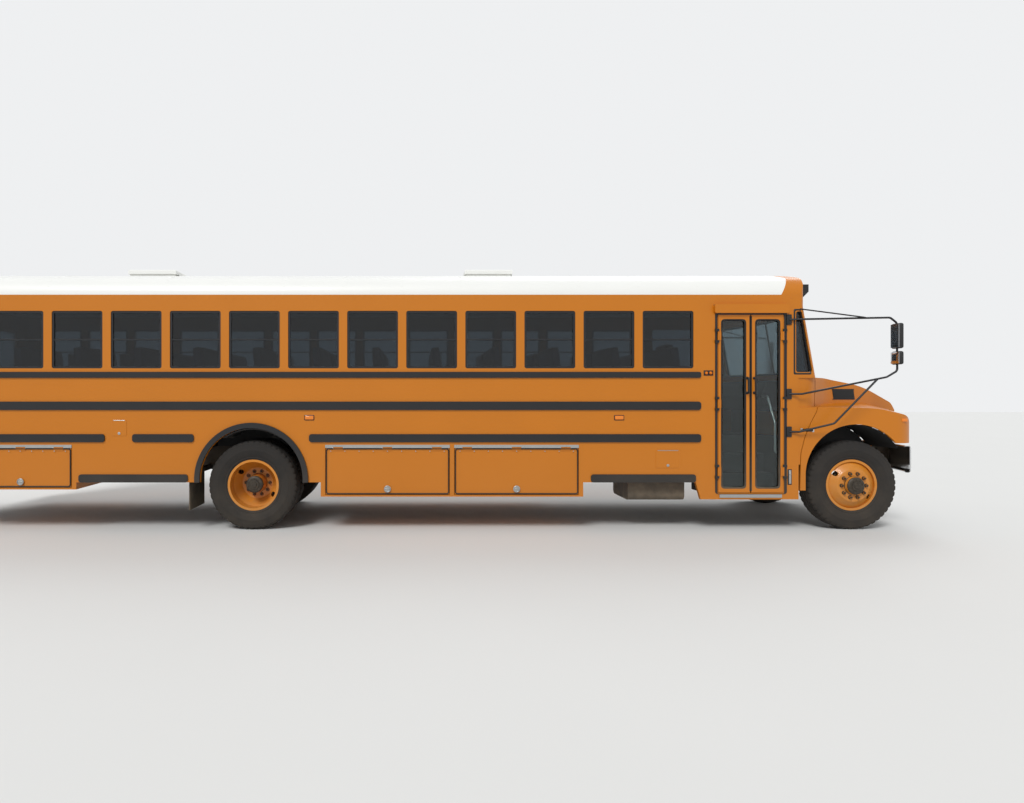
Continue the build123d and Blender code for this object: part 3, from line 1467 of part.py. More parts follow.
def make_headlamps():
    outer = nose_block(4, COWL_X, LEG_LOW)
    inner = nose_block(HOOD_WALL, COWL_X - 50, LEG_LOW - 50)
    skin = outer - inner
    lamp = skin & lengthwise(lamp_face(0), FRONT_AXLE_X + 500, NOSE_X)
    return both_sides(lamp)


# Bumpers
def make_front_bumper():
    """A bright channel swept back at its ends, on two brackets."""
    sweep_r = (BUMPER_HALF**2 + BUMPER_SWEEP**2) / (2 * BUMPER_SWEEP)
    centre_x = NOSE_X - sweep_r
    face = Pos(centre_x, 0) * (Circle(sweep_r) - Circle(sweep_r - BUMPER_THICK))
    bar = upward(face, BUMPER_LOW, BUMPER_HIGH)
    bar = bar & block(NOSE_X - BUMPER_SWEEP - 100, NOSE_X, -BUMPER_HALF, BUMPER_HALF, BUMPER_LOW, BUMPER_HIGH)
    cavity = upward(
        Pos(centre_x, 0) * (Circle(sweep_r - 10) - Circle(sweep_r - BUMPER_THICK - 1)),
        BUMPER_LOW + 10,
        BUMPER_HIGH - 10,
    )
    bar = bar - (cavity & block(TAIL_X, NOSE_X, -BUMPER_HALF + 10, BUMPER_HALF - 10, 0, CROWN_Z))
    bracket = block(
        NOSE_X - BUMPER_SWEEP, NOSE_X - 36, FRAME_HALF - FRAME_FLANGE, FRAME_HALF, FRAME_LOW, FRAME_HIGH
    )
    return bar + bracket + other_side(bracket)


REAR_BUMPER_LOW = 560
REAR_BUMPER_HIGH = 800


def make_rear_bumper():
    half = BODY_HALF - 20
    end_x = BODY_REAR_X + REAR_CORNER_R - RUN_GAP
    outer = outline(
        (TAIL_X, -half, 120),
        (TAIL_X, half, 120),
        (end_x, half),
        (end_x, half - 10),
        (TAIL_X + 10, half - 10, 110),
        (TAIL_X + 10, -half + 10, 110),
        (end_x, -half + 10),
        (end_x, -half),
    )
    bar = upward(outer, REAR_BUMPER_LOW, REAR_BUMPER_HIGH)
    bar = bar - block(
        BODY_REAR_X - 1, NOSE_X, -BODY_HALF, BODY_HALF, REAR_PANEL_Z - 4, REAR_BUMPER_HIGH + 1
    )
    bracket = block(
        TAIL_X + 5, BODY_REAR_X, FRAME_HALF - FRAME_FLANGE, FRAME_HALF, FRAME_LOW + 20, REAR_BUMPER_HIGH - 20
    )
    return bar + bracket + other_side(bracket)


# Luggage boxes, fuel tank and exhaust
def box_doors():
    """Luggage doors as (box index, rear x, front x, bottom z)."""
    doors = []
    for index, (x_low, x_high, z_low) in enumerate(box_spans()):
        width = MID_DOOR_WIDE if index == 0 else REAR_DOOR_WIDE
        count = 2 if index == 0 else 1
        for number in range(count):
            door_low = x_low + BOX_RIM + number * (width + BOX_RIM)
            doors.append((index, door_low, door_low + width, z_low + 22))
    return doors


def make_luggage_box(index):
    """A left-hand box, open outwards, one bay for each door."""
    x_low, x_high, z_low = box_spans()[index]
    box = block(x_low, x_high, BODY_HALF - BOX_DEEP, BODY_HALF, z_low, BOX_TOP)
    for owner, door_low, door_high, door_z in box_doors():
        if owner == index:
            bay = block(
                door_low, door_high, BODY_HALF - BOX_DEEP + BOX_BACK, BODY_HALF, door_z, BOX_DOOR_TOP
            )
            box = box - bay
    return box


def make_luggage_door(door):
    index, door_low, door_high, door_z = door
    panel = block(
        door_low + RUN_GAP,
        door_high - RUN_GAP,
        BODY_HALF - BOX_DOOR_THICK,
        BODY_HALF,
        door_z + RUN_GAP,
        BOX_DOOR_TOP - RUN_GAP / 2,
    )
    latch = rod(
        ((door_low + door_high) / 2, BODY_HALF, door_z + 60),
        ((door_low + door_high) / 2, BODY_HALF + 6, door_z + 60),
        38,
    )
    door = panel + latch
    for eye_x in box_eye_places(door_low, door_high):
        eye = Pos(eye_x, BODY_HALF + HINGE_STRIP, BOX_HINGE_Z) * Rot(0, 90, 0)
        door = door + eye * Cylinder(BOX_EYE_R, BOX_EYE_LONG)
        door = door + block(
            eye_x - BOX_EYE_LONG / 2, eye_x + BOX_EYE_LONG / 2,
            BODY_HALF, BODY_HALF + HINGE_STRIP, BOX_HINGE_Z - 30, BOX_HINGE_Z,
        )
        door = door - eye * Cylinder(BOX_PIN_R + HINGE_PLAY, BOX_EYE_LONG + 20)
    return door


BOX_HINGE_Z = BOX_DOOR_TOP + 2
BOX_EYE_R = 6
BOX_PIN_R = 3
BOX_EYE_LONG = 110


def box_eye_places(door_low, door_high):
    """Where a luggage door's three hinge eyes are, along X."""
    return [door_low + 150, (door_low + door_high) / 2, door_high - 150]


def box_hinge(door_low, door_high):
    """The bright strip over a luggage door, notched for the door's eyes, with the pins in it."""
    out = BODY_HALF + HINGE_STRIP
    strip = block(door_low, door_high, BODY_HALF, out, BOX_HINGE_Z, BOX_TOP)
    for eye_x in box_eye_places(door_low, door_high):
        reach = BOX_EYE_LONG / 2 + HINGE_PLAY
        strip = strip - block(eye_x - reach, eye_x + reach, BODY_HALF, out, BOX_HINGE_Z, BOX_HINGE_Z + 12)
        strip = strip + Pos(eye_x, out, BOX_HINGE_Z) * Rot(0, 90, 0) * Cylinder(BOX_PIN_R, 2 * reach + 20)
    return strip


def make_bright_trim():
    """Luggage door and roof hatch hinges, the strip under the doorway and the grab rail."""
    strips = [box_hinge(door_low, door_high) for index, door_low, door_high, door_z in box_doors()]
    return together([both_sides(together(strips)), step_strip(), grab_rail(), hatch_hinges()])


TANK_LONG = 661
TANK_SIDE_GAP = 119
TANK_LOW = 338
TANK_HIGH = 900


def make_fuel_tank():
    """The tank behind the entrance, slung from the right rail."""
    front = ENTRY_REAR_X - 146
    tank = block(front - TANK_LONG, front, -BODY_HALF + TANK_SIDE_GAP, -FRAME_HALF - 28, TANK_LOW, TANK_HIGH)
    tank = fillet(tank.edges().filter_by(Axis.X), 60)
    strap = block(front - 520, front - 450, -FRAME_HALF - 40, -FRAME_HALF, 700, 880)
    return tank + strap + Pos(330, 0, 0) * strap


def make_exhaust():
    """Muffler and tail pipe between the rails."""
    z_at = 600
    y_at = 250
    pipe_solid = rod((COWL_X - 500, y_at, z_at), (REAR_AXLE_X + 900, y_at, z_at), 50)
    muffler = rod((REAR_AXLE_X + 2600, y_at, z_at - 10), (REAR_AXLE_X + 3700, y_at, z_at - 10), 120)
    exhaust = pipe_solid + muffler
    for hanger_x in (REAR_AXLE_X + 1400, REAR_AXLE_X + 4000, REAR_AXLE_X + 5500):
        exhaust = exhaust + block(hanger_x, hanger_x + 30, y_at - 15, y_at + 15, z_at, FRAME_LOW)
        exhaust = exhaust + block(hanger_x, hanger_x + 30, y_at - 15, FRAME_HALF - 20, FRAME_LOW - 10, FRAME_LOW)
    return exhaust


# Mirrors, lamps and stop arm
def make_mirrors():
    """The left mirror frame of bent tube, with a flat and a round head."""
    foot_x = COWL_X - 114
    out_y = BODY_HALF + 226
    far_x = FRONT_AXLE_X + 241
    tube = 11
    high_z = 2448
    low_z = 1587
    frame = pipe(
        [
            (foot_x, BODY_HALF + 12, high_z),
            (foot_x + 150, BODY_HALF + 60, high_z),
            (far_x, out_y, high_z),
            (far_x + 75, out_y, high_z - 60),
            (far_x + 80, out_y, low_z + 260),
            (far_x - 40, out_y, low_z + 190),
            (foot_x + 120, BODY_HALF + 60, low_z),
            (foot_x, BODY_HALF + 12, low_z),
        ],
        28,
        tube,
    )
    brace = pipe(
        [
            (far_x - 130, out_y - 20, low_z + 167),
            (FRONT_AXLE_X - 330, out_y - 100, 1250),
            (foot_x + 100, BODY_HALF + 40, 1150),
            (foot_x, BODY_HALF + 12, 1150),
        ],
        28,
        tube,
    )
    frame = frame + brace
    for foot_z in (high_z, low_z, 1150):
        frame = frame + block(foot_x - 25, foot_x + 25, BODY_HALF, BODY_HALF + 14, foot_z - 60, foot_z + 60)
    flat = block(far_x + 55, far_x + 100, out_y - 80, out_y + 80, high_z - 350, high_z - 65)
    round_head = block(far_x + 55, far_x + 110, out_y - 80, out_y + 80, high_z - 530, high_z - 380)
    return frame + flat + round_head


LAMP_HOOD_NEAR = 490
LAMP_HOOD_FAR = BODY_HALF - 209
LAMP_HOOD_LOW = 2700
LAMP_HOOD_HIGH = 2890
LAMP_HOOD_X = SCREEN_TOP_X + 137
LAMP_HOOD_SLANT = 87
VISOR_OUT = 116
VISOR_THICK = 12
LAMP_R = 82
LAMP_YS = (LAMP_HOOD_NEAR + 130, LAMP_HOOD_FAR - 130)
TAIL_LAMP_Z = 2640


def hood_plan(out, near, far):
    """The plan of a front lamp housing: its face slants back with the cap."""
    slope = LAMP_HOOD_SLANT / (LAMP_HOOD_FAR - LAMP_HOOD_NEAR)
    near_x = LAMP_HOOD_X + out - (near - LAMP_HOOD_NEAR) * slope
    far_x = LAMP_HOOD_X + out - (far - LAMP_HOOD_NEAR) * slope
    return outline((PILLAR_X, near), (near_x, near), (far_x, far), (PILLAR_X, far))


def front_lamp_hood(front_block):
    """The left front housing: a back plate, a visor over it and a cheek at each end."""
    near, far = LAMP_HOOD_NEAR, LAMP_HOOD_FAR
    hood = upward(hood_plan(0, near, far), LAMP_HOOD_LOW, LAMP_HOOD_HIGH)
    hood = hood + upward(hood_plan(VISOR_OUT, near, far), LAMP_HOOD_HIGH - VISOR_THICK, LAMP_HOOD_HIGH)
    for low, high in ((near, near + VISOR_THICK), (far - VISOR_THICK, far)):
        cheek = upward(hood_plan(VISOR_OUT, low, high), LAMP_HOOD_LOW, LAMP_HOOD_HIGH)
        tip_x = LAMP_HOOD_X + VISOR_OUT
        slant = outline(
            (PILLAR_X, LAMP_HOOD_LOW), (tip_x - 190, LAMP_HOOD_LOW), (tip_x, LAMP_HOOD_HIGH), (PILLAR_X, LAMP_HOOD_HIGH)
        )
        hood = hood + (cheek & across(slant, near, far))
    return hood - front_block


def rear_lamp_hood(y_at):
    """A half-round visor over one of the tail's warning lamps."""
    ring = Circle(LAMP_R + 18) - Circle(LAMP_R + 8)
    upper = ring & (Pos(0, LAMP_R) * Rectangle(4 * LAMP_R, 2 * LAMP_R))
    return extrude(Plane.YZ.offset(BODY_REAR_X) * Pos(y_at, TAIL_LAMP_Z) * upper, -90)


def make_lamp_hoods(front_block):
    """Black housings for the warning lamps, one pair on the cap and visors on the tail."""
    hoods = [both_sides(front_lamp_hood(front_block))]
    hoods += [rear_lamp_hood(side * y_at) for side in (-1, 1) for y_at in LAMP_YS]
    return together(hoods)


def front_lamp(y_at):
    """A round warning lamp that stands square on the housing's slanted plate."""
    slope = LAMP_HOOD_SLANT / (LAMP_HOOD_FAR - LAMP_HOOD_NEAR)
    x_at = LAMP_HOOD_X - (y_at - LAMP_HOOD_NEAR) * slope
    plane = Plane(origin=(x_at, y_at, LAMP_HOOD_LOW + LAMP_R + 8), z_dir=(1, slope, 0))
    return extrude(plane * Circle(LAMP_R), 24)


STOP_X = DOOR_REAR_X - 330
STOP_Z = 1640
STOP_R = 225
STOP_OUT = 45
STOP_HINGE_X = STOP_X + 303
STOP_PIN_R = 6


def make_stop_arm():
    """A blank eight-sided sign that folds against the left side, with an eye at its hinge."""
    plate = RegularPolygon(STOP_R, 8, major_radius=False, rotation=22.5)
    sign = Plane.XZ.offset(-(BODY_HALF + STOP_OUT)) * (Pos(STOP_X, STOP_Z) * plate)
    sign = extrude(sign, 10, both=True)
    out = BODY_HALF + STOP_OUT
    arm = block(STOP_X + 150, STOP_HINGE_X, out - 7, out + 7, STOP_Z - 60, STOP_Z + 60)
    eye = Pos(STOP_HINGE_X, out, STOP_Z)
    return sign + arm + eye * Cylinder(12, 120) - eye * Cylinder(STOP_PIN_R + KINGPIN_GAP, 200)


def stop_arm_mount():
    """The sign's hinge: a base on the wall with two ears and a pin."""
    out = BODY_HALF + STOP_OUT
    base = block(STOP_HINGE_X - 20, STOP_HINGE_X + 60, BODY_HALF, BODY_HALF + 20, STOP_Z - 100, STOP_Z + 100)
    for z_low in (STOP_Z - 90, STOP_Z + 66):
        base = base + block(STOP_HINGE_X - 12, STOP_HINGE_X + 12, BODY_HALF, out + 12, z_low, z_low + 24)
    return base + Pos(STOP_HINGE_X, out, STOP_Z) * Cylinder(STOP_PIN_R, 170)


# Lamps: warning lamps, marker lamps and tail lamps
def make_lamp_lenses():
    """Every lens on the body: four at each end over the glass, tail lamps and side markers."""
    lenses = []
    lenses += [both_sides(front_lamp(y_at)) for y_at in LAMP_YS]
    for side in (-1, 1):
        for y_at in LAMP_YS:
            lens = Plane.YZ.offset(BODY_REAR_X) * Pos(side * y_at, TAIL_LAMP_Z) * Circle(LAMP_R)
            lenses.append(extrude(lens, -24))
        for z_at, radius in ((1620, 88), (1400, 88), (1240, 50)):
            lens = Plane.YZ.offset(BODY_REAR_X) * Pos(side * (BODY_HALF - 219), z_at) * Circle(radius)
            lenses.append(extrude(lens, -20))
    for x_at in (REAR_AXLE_X + 620, FRONT_AXLE_X - 2800):
        lenses.append(both_sides(block(x_at, x_at + 100, BODY_HALF, BODY_HALF + 14, 1290, 1335)))
    return together(lenses)


# All pieces, by node name
def make_pieces():
    nose = nose_shell()
    pieces = {
        "chassis_frame": make_chassis_frame(),
        "engine_block": make_engine(),
        "driveline": make_driveline(),
        "front_axle": make_front_axle(),
        "rear_axle": make_rear_axle(),
        "fuel_tank": make_fuel_tank(),
        "exhaust": make_exhaust(),
        "floor": make_floor(),
        "wheel_houses": both_sides(wheel_house()),
        "stepwell": make_stepwell(),
        "side_wall_left": make_left_wall(),
        "side_wall_right": make_right_wall(),
        "rear_wall": make_rear_wall(),
        "roof": make_roof(),
        "front_cap": make_front_cap(),
        "front_frame": make_front_frame(),
        "fixed_glass": make_fixed_glass(),
        "window_frames": make_window_frames(),
        "bright_trim": make_bright_trim(),
        "rub_rails": make_rub_rails(),
        "mud_flaps": make_mud_flaps(),
        "cowl": make_cowl(nose),
        "dashboard": make_dashboard(),
        "seats": make_seats(),
        "lamp_hoods": make_lamp_hoods(upper_solid(0, HEADER_Z)),
        "lamp_lenses": make_lamp_lenses(),
        "front_bumper": make_front_bumper(),
        "rear_bumper": make_rear_bumper(),
        "mirrors": both_sides(make_mirrors()),
        "stop_arm": make_stop_arm(),
        "hood": make_hood(nose),
        "grille": make_grille(),
        "headlamps": make_headlamps(),
        "door_leaf_front": make_leaf(True),
        "door_leaf_rear": make_leaf(False),
        "door_glass_front": make_leaf_glass(True),
        "door_glass_rear": make_leaf_glass(False),
        "emergency_door": make_exit_door(),
        "emergency_glass": make_exit_glass(),
        "tie_rod": make_tie_rod(),
    }
    for index, name in enumerate(("mid", "rear")):
        pieces[f"luggage_boxes_{name}"] = both_sides(make_luggage_box(index))
    sided = {
        "tyre_front": set_wheel(make_tyre_ring(FRONT_TRACK_HALF), FRONT_AXLE_X),
        "rim_front": set_wheel(make_front_rim(), FRONT_AXLE_X),
        "knuckle": make_knuckle(),
        "tyres_rear": set_wheel(make_twin_tyres(), REAR_AXLE_X),
        "rims_rear": set_wheel(make_rear_rims(), REAR_AXLE_X),
    }
    for door, name in zip(box_doors(), ("middle", "front", "rear")):
        sided[f"luggage_door_{name}"] = make_luggage_door(door)
    for name, left in sided.items():
        pieces[f"{name}_left"] = left
        pieces[f"{name}_right"] = other_side(left)
    for centre_x, name in zip(HATCH_CENTRES, ("front", "rear")):
        pieces[f"hatch_lid_{name}"] = make_hatch_lid(centre_x)
    return pieces


os.makedirs("parts", exist_ok=True)
for node, shape in make_pieces().items():
    export_step(shape, f"parts/{node}.step")
    print(node, len(shape.solids()), round(shape.volume / 1e9, 5))
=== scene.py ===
import math

import bmesh
import bpy
from mathutils import Matrix, Vector
from mathutils.bvhtree import BVHTree


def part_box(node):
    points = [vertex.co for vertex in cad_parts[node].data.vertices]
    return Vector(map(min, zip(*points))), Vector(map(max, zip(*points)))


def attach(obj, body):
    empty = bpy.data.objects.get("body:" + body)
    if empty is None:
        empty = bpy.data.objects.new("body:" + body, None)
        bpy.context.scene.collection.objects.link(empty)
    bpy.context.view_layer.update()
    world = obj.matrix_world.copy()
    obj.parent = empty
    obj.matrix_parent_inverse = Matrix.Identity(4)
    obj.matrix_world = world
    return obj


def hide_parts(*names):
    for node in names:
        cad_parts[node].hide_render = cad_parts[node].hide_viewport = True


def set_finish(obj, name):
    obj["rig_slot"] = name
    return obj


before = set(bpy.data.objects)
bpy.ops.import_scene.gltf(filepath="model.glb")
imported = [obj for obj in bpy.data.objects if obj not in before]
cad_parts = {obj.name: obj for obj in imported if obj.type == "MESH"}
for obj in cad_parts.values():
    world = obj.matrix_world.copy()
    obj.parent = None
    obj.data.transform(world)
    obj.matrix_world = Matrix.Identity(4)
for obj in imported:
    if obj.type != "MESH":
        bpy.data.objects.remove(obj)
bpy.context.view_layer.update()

# Places in metres, as the part's source has them: X forward, Y to the bus's left, Z up
FRONT_AXLE_X = 5.1
REAR_AXLE_X = -1.91
BODY_REAR_X = -5.93
BODY_HALF = 1.219
COWL_X = 4.43
FLOOR_Z = 1.075
TYRE_R = 0.52
FRONT_TRACK = 1.018
TWIN_OUTER = 1.026
TWIN_SPACING = 0.322
DOOR_REAR_X = 3.491
SIDES = (("left", 1), ("right", -1))
SIGNS = (1, -1)
BENCH_PITCH = 0.7
BENCH_ROWS = 12


def place(x, y, z):
    return Matrix.Translation((x, y, z))


def on_side(sign):
    """Turns a piece drawn on the left to the side of that sign."""
    return Matrix.Diagonal((1, sign, 1, 1))


# Materials: every one is made of nodes, with colour that wanders, dust near the road and a fine bump
def srgb(red, green, blue):
    """A colour given in 0 to 255, as the linear values that Blender takes."""
    def linear(c):
        c = c / 255
        return c / 12.92 if c <= 0.04045 else ((c + 0.055) / 1.055) ** 2.4
    return (linear(red), linear(green), linear(blue), 1.0)


DUST = srgb(150, 132, 108)


def make_material(name, colour, rough, metal=0.0, coat=0.0, vary=0.12, vary_scale=2.5, rough_vary=0.08,
                  grain=600.0, grain_deep=0.0001, dust=0.0, dust_top=1.1, transmission=0.0, ior=1.45):
    """A finish with cloudy colour and roughness, dust that fades out by dust_top, and a fine grain."""
    material = bpy.data.materials.new(name)
    material.use_nodes = True
    nodes = material.node_tree.nodes
    links = material.node_tree.links
    shader = nodes["Principled BSDF"]
    shader.inputs["Metallic"].default_value = metal
    shader.inputs["Coat Weight"].default_value = coat
    shader.inputs["Coat Roughness"].default_value = 0.06
    shader.inputs["Transmission Weight"].default_value = transmission
    shader.inputs["IOR"].default_value = ior
    spot = nodes.new("ShaderNodeTexCoord")
    cloud = nodes.new("ShaderNodeTexNoise")
    cloud.inputs["Scale"].default_value = vary_scale
    cloud.inputs["Detail"].default_value = 6.0
    links.new(spot.outputs["Object"], cloud.inputs["Vector"])
    shades = nodes.new("ShaderNodeMix")
    shades.data_type = "RGBA"
    dark = [c * (1 - vary) for c in colour[:3]] + [1.0]
    light = [min(1.0, c * (1 + vary)) for c in colour[:3]] + [1.0]
    shades.inputs["A"].default_value = dark
    shades.inputs["B"].default_value = light
    links.new(cloud.outputs["Fac"], shades.inputs["Factor"])
    colour_out = shades.outputs["Result"]
    if dust:
        split = nodes.new("ShaderNodeSeparateXYZ")
        links.new(spot.outputs["Object"], split.inputs["Vector"])
        height = nodes.new("ShaderNodeMapRange")
        height.inputs["From Min"].default_value = dust_top
        height.inputs["From Max"].default_value = 0.1
        height.inputs["To Max"].default_value = dust
        links.new(split.outputs["Z"], height.inputs["Value"])
        patch = nodes.new("ShaderNodeMath")
        patch.operation = "MULTIPLY"
        links.new(height.outputs["Result"], patch.inputs[0])
        links.new(cloud.outputs["Fac"], patch.inputs[1])
        dusty = nodes.new("ShaderNodeMix")
        dusty.data_type = "RGBA"
        dusty.inputs["B"].default_value = DUST
        links.new(patch.outputs["Value"], dusty.inputs["Factor"])
        links.new(colour_out, dusty.inputs["A"])
        colour_out = dusty.outputs["Result"]
    links.new(colour_out, shader.inputs["Base Color"])
    wear = nodes.new("ShaderNodeMapRange")
    wear.inputs["To Min"].default_value = max(0.02, rough - rough_vary)
    wear.inputs["To Max"].default_value = min(1.0, rough + rough_vary)
    links.new(cloud.outputs["Fac"], wear.inputs["Value"])
    links.new(wear.outputs["Result"], shader.inputs["Roughness"])
    if grain_deep:
        fine = nodes.new("ShaderNodeTexNoise")
        fine.inputs["Scale"].default_value = grain
        fine.inputs["Detail"].default_value = 3.0
        links.new(spot.outputs["Object"], fine.inputs["Vector"])
        bump = nodes.new("ShaderNodeBump")
        bump.inputs["Strength"].default_value = 0.6
        bump.inputs["Distance"].default_value = grain_deep
        links.new(fine.outputs["Fac"], bump.inputs["Height"])
        links.new(bump.outputs["Normal"], shader.inputs["Normal"])
    return material


YELLOW = srgb(192, 112, 0)
PAINT = make_material("body_yellow", YELLOW, 0.42, coat=0.12, vary=0.05, vary_scale=1.2, grain=220,
                      grain_deep=0.00012, dust=0.12)
WHEEL_PAINT = make_material("wheel_yellow", srgb(206, 126, 6), 0.42, coat=0.15, vary=0.1, vary_scale=14,
                            grain=300, dust=0.5, dust_top=1.4)
ROOF = make_material("roof_white", srgb(232, 232, 228), 0.42, coat=0.2, vary=0.03, vary_scale=1.5,
                     grain=160, grain_deep=0.0002)
BLACK = make_material("trim_black", srgb(26, 26, 28), 0.42, vary=0.2, grain=400, dust=0.2)
CHASSIS = make_material("chassis_black", srgb(34, 34, 34), 0.62, vary=0.3, vary_scale=9, grain=120,
                        grain_deep=0.0006, dust=0.9, dust_top=1.6)
ENGINE = make_material("engine_grey", srgb(96, 98, 100), 0.62, metal=0.5, vary=0.25, vary_scale=12,
                       grain=90, grain_deep=0.0008)
STEEL = make_material("bare_steel", srgb(176, 176, 174), 0.3, metal=1.0, vary=0.08, vary_scale=18,
                      grain=700)
CHROME = make_material("bright_chrome", srgb(205, 206, 208), 0.12, metal=1.0, vary=0.04, rough_vary=0.06,
                       grain_deep=0.0, dust=0.15)
PLASTIC = make_material("black_plastic", srgb(30, 30, 31), 0.55, vary=0.15, vary_scale=8, grain=500,
                        grain_deep=0.0001)
FLOOR_RUBBER = make_material("floor_rubber", srgb(52, 52, 52), 0.75, vary=0.2, vary_scale=4, grain=140,
                             grain_deep=0.0008)
FLAP_RUBBER = make_material("flap_rubber", srgb(30, 30, 29), 0.8, vary=0.25, vary_scale=7, grain=90,
                            grain_deep=0.0008, dust=0.8)
VINYL = make_material("seat_vinyl", srgb(44, 56, 78), 0.42, vary=0.12, vary_scale=9, grain=420,
                      grain_deep=0.0006)
TYRE = make_material("tyre_rubber", srgb(30, 29, 29), 0.86, vary=0.25, vary_scale=6, grain=260,
                     grain_deep=0.0005, dust=0.16, dust_top=1.3)
TINTED = make_material("tinted_glass", srgb(96, 108, 116), 0.05, vary=0.04, rough_vary=0.02,
                       grain_deep=0.0, transmission=1.0)
CLEAR = make_material("clear_glass", srgb(206, 222, 222), 0.04, vary=0.02, rough_vary=0.02,
                      grain_deep=0.0, transmission=1.0)
RED_LENS = make_material("lamp_red", srgb(176, 22, 14), 0.16, coat=0.6, vary=0.08, grain=260,
                         grain_deep=0.0006)
AMBER_LENS = make_material("lamp_amber", srgb(226, 124, 14), 0.16, coat=0.6, vary=0.08, grain=260,
                           grain_deep=0.0006)
SIGN_RED = make_material("sign_red", srgb(178, 26, 24), 0.4, coat=0.2, vary=0.06, grain=300)
HUB_BLACK = make_material("hub_black", srgb(30, 28, 26), 0.5, metal=0.3, vary=0.3, vary_scale=30,
                          grain=200, grain_deep=0.0004, dust=0.35, dust_top=1.5)

# The starts of the CAD nodes' names, by finish
FINISHES = {
    TYRE: "tyre",
    WHEEL_PAINT: "rim",
    CHASSIS: "chassis_frame driveline front_axle rear_axle fuel_tank tie_rod knuckle",
    ENGINE: "engine_block",
    STEEL: "exhaust bright_trim",
    FLOOR_RUBBER: "floor wheel_houses stepwell",
    PAINT: "side_wall rear_wall front_cap front_frame cowl luggage hood emergency_door door_leaf",
    ROOF: "roof hatch_lid",
    TINTED: "fixed_glass emergency_glass",
    CLEAR: "headlamps door_glass",
    BLACK: "window_frames rub_rails lamp_hoods rear_bumper mirrors",
    FLAP_RUBBER: "mud_flaps",
    PLASTIC: "dashboard grille",
    VINYL: "seats",
    RED_LENS: "lamp_lenses",
    CHROME: "front_bumper",
    SIGN_RED: "stop_arm",
}
for node_name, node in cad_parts.items():
    finish, = [key for key, starts in FINISHES.items() if node_name.startswith(tuple(starts.split()))]
    node.data.materials.clear()
    node.data.materials.append(finish)


# Mesh building
class Shape:
    """Collects points and faces, and becomes one mesh object."""

    def __init__(self):
        self.points = []
        self.faces = []

    def add(self, points, faces, matrix=None):
        start = len(self.points)
        for point in points:
            point = Vector(point)
            self.points.append(matrix @ point if matrix else point)
        flip = matrix is not None and matrix.determinant() < 0
        for face in faces:
            face = [start + i for i in face]
            self.faces.append(face[::-1] if flip else face)
        return self

    def finish(self, name, body, material, sharp=35, slot=None):
        """Makes the object, on that body. Its slot is its material's name, unless one is given."""
        mesh = bpy.data.meshes.new(name)
        mesh.from_pydata([tuple(p) for p in self.points], [], self.faces)
        mesh.update()
        mesh.shade_smooth()
        mesh.set_sharp_from_angle(angle=math.radians(sharp))
        mesh.materials.append(material)
        obj = bpy.data.objects.new(name, mesh)
        bpy.context.scene.collection.objects.link(obj)
        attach(obj, body)
        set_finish(obj, slot or material.name.split(".")[0])
        return obj


def soft_box(low, high, edge=0.004, steps=2):
    """A box between two corners with rounded edges."""
    low, high = Vector(low), Vector(high)
    bm = bmesh.new()
    bmesh.ops.create_cube(bm, size=1.0)
    size = high - low
    for vert in bm.verts:
        vert.co = low + Vector((size.x * (vert.co.x + 0.5), size.y * (vert.co.y + 0.5),
                                size.z * (vert.co.z + 0.5)))
    edge = min(edge, 0.45 * min(size))
    bmesh.ops.bevel(bm, geom=bm.edges[:], offset=edge, segments=steps, profile=0.5, affect="EDGES")
    bm.verts.index_update()
    points = [vert.co.copy() for vert in bm.verts]
    faces = [[vert.index for vert in face.verts] for face in bm.faces]
    bm.free()
    return points, faces


def lathe(profile, steps=48, axis="Y", closed=False):
    """A turned shape from (radius, along) points round an axis through the origin."""
    points, faces = [], []
    count = len(profile)
    for step in range(steps):
        angle = 2 * math.pi * step / steps
        c, s = math.cos(angle), math.sin(angle)
        for radius, along in profile:
            if axis == "Y":
                points.append((radius * c, along, -radius * s))
            elif axis == "Z":
                points.append((radius * c, radius * s, along))
            else:
                points.append((along, radius * c, radius * s))
    for step in range(steps):
        here, there = step * count, (step + 1) % steps * count
        for i in range(count if closed else count - 1):
            j = (i + 1) % count
            faces.append((here + i, there + i, there + j, here + j))
    if not closed:
        faces.append([step * count for step in range(steps)][::-1])
        faces.append([step * count + count - 1 for step in range(steps)])
    return points, faces


def rounded_path(corners, bend, steps=6):
    """The corners joined by straight runs, each turned round an arc of about that radius."""
    corners = [Vector(c) for c in corners]
    path = [corners[0]]
    for before, corner, after in zip(corners, corners[1:], corners[2:]):
        back, ahead = before - corner, after - corner
        half = back.angle(ahead) / 2
        reach = min(bend / math.tan(half), 0.45 * back.length, 0.45 * ahead.length)
        start, end = corner + back.normalized() * reach, corner + ahead.normalized() * reach
        for step in range(steps + 1):
            t = step / steps
            path.append((1 - t) ** 2 * start + 2 * t * (1 - t) * corner + t ** 2 * end)
    path.append(corners[-1])
    return path


def closed_rings(rings):
    """Joins equal rings of points into one skin, the last ring to the first."""
    count = len(rings[0])
    points = [point for ring in rings for point in ring]
    faces = []
    for k in range(len(rings)):
        here, there = k * count, (k + 1) % len(rings) * count
        for i in range(count):
            j = (i + 1) % count
            faces.append((here + i, here + j, there + j, there + i))
    return points, faces


def capped_rings(rings):
    """Joins equal rings of points into one skin with both ends closed."""
    points, faces = closed_rings(rings)
    count = len(rings[0])
    last = len(points) - count
    faces = faces[:-count]
    faces.append(list(range(count))[::-1])
    faces.append([last + i for i in range(count)])
    return points, faces


def tube(path, radius, sides=12):
    """A round bar along a path of points."""
    rings = []
    normal = (path[1] - path[0]).orthogonal().normalized()
    for i, at in enumerate(path):
        ahead = path[min(i + 1, len(path) - 1)] - path[max(i - 1, 0)]
        ahead.normalize()
        normal = (normal - normal.dot(ahead) * ahead).normalized()
        across = ahead.cross(normal)
        angles = [2 * math.pi * side / sides for side in range(sides)]
        rings.append([at + radius * (math.cos(a) * normal + math.sin(a) * across) for a in angles])
    return capped_rings(rings)


